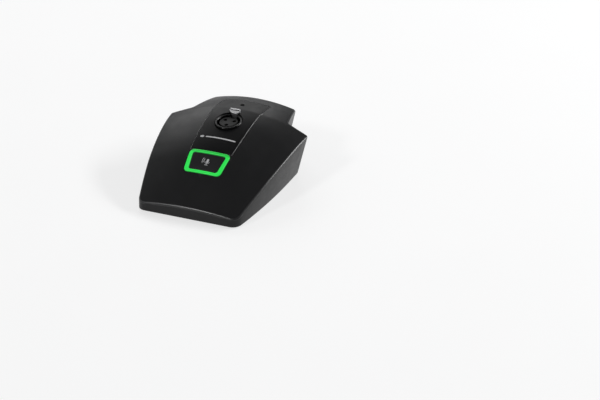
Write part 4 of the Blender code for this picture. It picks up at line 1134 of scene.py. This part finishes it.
def make_screw(name, node, place, head_r, low, high, shank_r, tip):
    """Cross-head screw seen from below."""
    sizes = [(head_r - 0.6, low), (head_r - 0.3, low)]
    sizes += [(head_r - inward, low + up) for inward, up in reversed(quarter(0.25)[:-1])]
    sizes += [(head_r, high), (shank_r, high), (shank_r, tip - 0.8), (shank_r * 0.5, tip)]
    arms = [cross(place, head_r * 0.55, head_r * 0.11, turn, low) for turn in (0.6, 0.6 + math.pi / 2)]
    piece(name, turned(sizes, place, 40), "steel", [node], cutters=[(arm, HOME) for arm in arms])


def make_base():
    """Bottom cover, battery cover, feet and screws."""
    width, length, radius = COVER
    seat = grown_rectangle(width + 2 * COVER_GAP, length + 2 * COVER_GAP, radius + 0.2, COVER_AT)
    cuts = [from_below(seat, 1.7, 0.3)]
    cuts += [from_below(grown_circle(FOOT_R + 0.3, place, 64), 0.8, 0.25) for place in FOOT_PLACES]
    cuts += [from_below(grown_circle(3.2, place, 64), 1.8, 0.3) for place in HOUSING_SCREWS]
    piece("base_plate", build_base, "base", ["base_shell"],
          cutters=[(cut, HOME) for cut in cuts])

    cuts = []
    for place in COVER_SCREWS:
        cuts += [from_below(grown_circle(2.5, place, 64), 1.0, 0.2), prism(circle(1.2, place, 32), 0.0, 4.0)]
    for k in range(5):
        cuts.append(from_below(grown_rectangle(14.0, 0.9, 0.4, (0.0, 1.5 + 2.2 * k), 6), 0.35, 0.15))
    piece("battery_door", build_door, "base", ["battery_cover"],
          cutters=[(cut, HOME) for cut in cuts])

    foot = [(0.8, 0.25), (2.0, 0.25), (3.4, 0.25), (4.2, 0.25), (4.5, 0.0)]
    foot += [(FOOT_R - inward, up) for inward, up in reversed(quarter(0.5))]
    foot.append((FOOT_R, UNDERSIDE_Z + 0.5))
    for index, place in enumerate(FOOT_PLACES, 1):
        piece(f"table_foot_{index}", turned(foot, place, 64), "rubber", [f"rubber_foot_{index}"])
    for name, node, places, *sizes in SCREW_KINDS:
        for index, place in enumerate(places, 1):
            make_screw(f"{name}_{index}", f"{node}_{index}", place, *sizes)


def dress_inner():
    """Materials of the CAD nodes that stay as they are."""
    for look, nodes in INNER_LOOKS.items():
        for node in nodes:
            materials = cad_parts[node].data.materials
            materials.clear()
            materials.append(LOOKS[look])


# ------------------------------------------------------------------ stage, lights and camera
def make_floor():
    """Pale floor under the unit."""
    def build(mesh):
        bmesh.ops.create_grid(mesh, x_segments=8, y_segments=8, size=3000.0)
    floor = new_object("studio_floor", build)
    look = Look("floor_paper", Roughness=0.7, Emission_Color=(1.0, 1.0, 1.0, 1.0), Emission_Strength=0.66)
    look.paint(look.noise(8.0), (0.35, 0.35, 0.35), (0.37, 0.37, 0.37))
    floor.data.materials.append(look.material)


def make_light(name, place, aim, width, height, power):
    """Soft rectangular light."""
    data = bpy.data.lights.new(name, "AREA")
    data.shape = "RECTANGLE"
    data.size, data.size_y, data.energy = width, height, power
    made = bpy.data.objects.new(name, data)
    made.location = place
    made.rotation_mode = "QUATERNION"
    made.rotation_quaternion = (Vector(aim) - Vector(place)).to_track_quat("-Z", "Y")
    bpy.context.scene.collection.objects.link(made)


def make_studio():
    """World and soft lights."""
    world = bpy.data.worlds.new("studio_world")
    world.use_nodes = True
    background = world.node_tree.nodes["Background"]
    background.inputs["Color"].default_value = (0.95, 0.97, 1.0, 1.0)
    background.inputs["Strength"].default_value = 0.14
    bpy.context.scene.world = world
    target = (0.0, 0.0, 0.03)
    make_light("back_left_light", (-0.9, 1.3, 0.9), target, 1.4, 0.9, 8.0)
    make_light("right_light", (1.35, 0.9, 0.95), target, 1.3, 0.25, 24.0)
    make_light("left_light", (-1.6, -0.4, 1.0), target, 1.0, 1.0, 1.5)
    make_light("front_left_light", (-0.7, -1.3, 1.2), target, 0.3, 0.3, 8.0)


def make_camera():
    """Camera above the front right of the unit, rolled slightly, with the unit left of the middle."""
    azimuth, elevation, roll = math.radians(24.18), math.radians(29.447), math.radians(-1.851)
    target, distance = Vector((0.0735, -0.00795, 0.0)), 1.20695
    back = Vector((math.sin(azimuth) * math.cos(elevation), -math.cos(azimuth) * math.cos(elevation),
                   math.sin(elevation)))
    level = Vector((0.0, 0.0, 1.0)).cross(back).normalized()
    up = back.cross(level)
    across = level * math.cos(roll) + up * math.sin(roll)
    upward = up * math.cos(roll) - level * math.sin(roll)
    data = bpy.data.cameras.new("camera")
    data.lens, data.sensor_width = 87.62, 36.0
    data.clip_start, data.clip_end = 0.05, 50.0
    made = bpy.data.objects.new("camera", data)
    matrix = Matrix((across, upward, back)).transposed().to_4x4()
    matrix.translation = target + back * distance
    made.matrix_world = matrix
    bpy.context.scene.collection.objects.link(made)
    bpy.context.scene.camera = made


def main():
    """Builds everything around the frame."""
    bpy.context.scene.view_settings.view_transform = "Standard"
    make_camera()
    make_floor()
    make_studio()
    make_housing()
    make_talk()
    make_socket()
    make_release()
    make_springs()
    make_rear()
    make_base()
    dress_inner()


main()
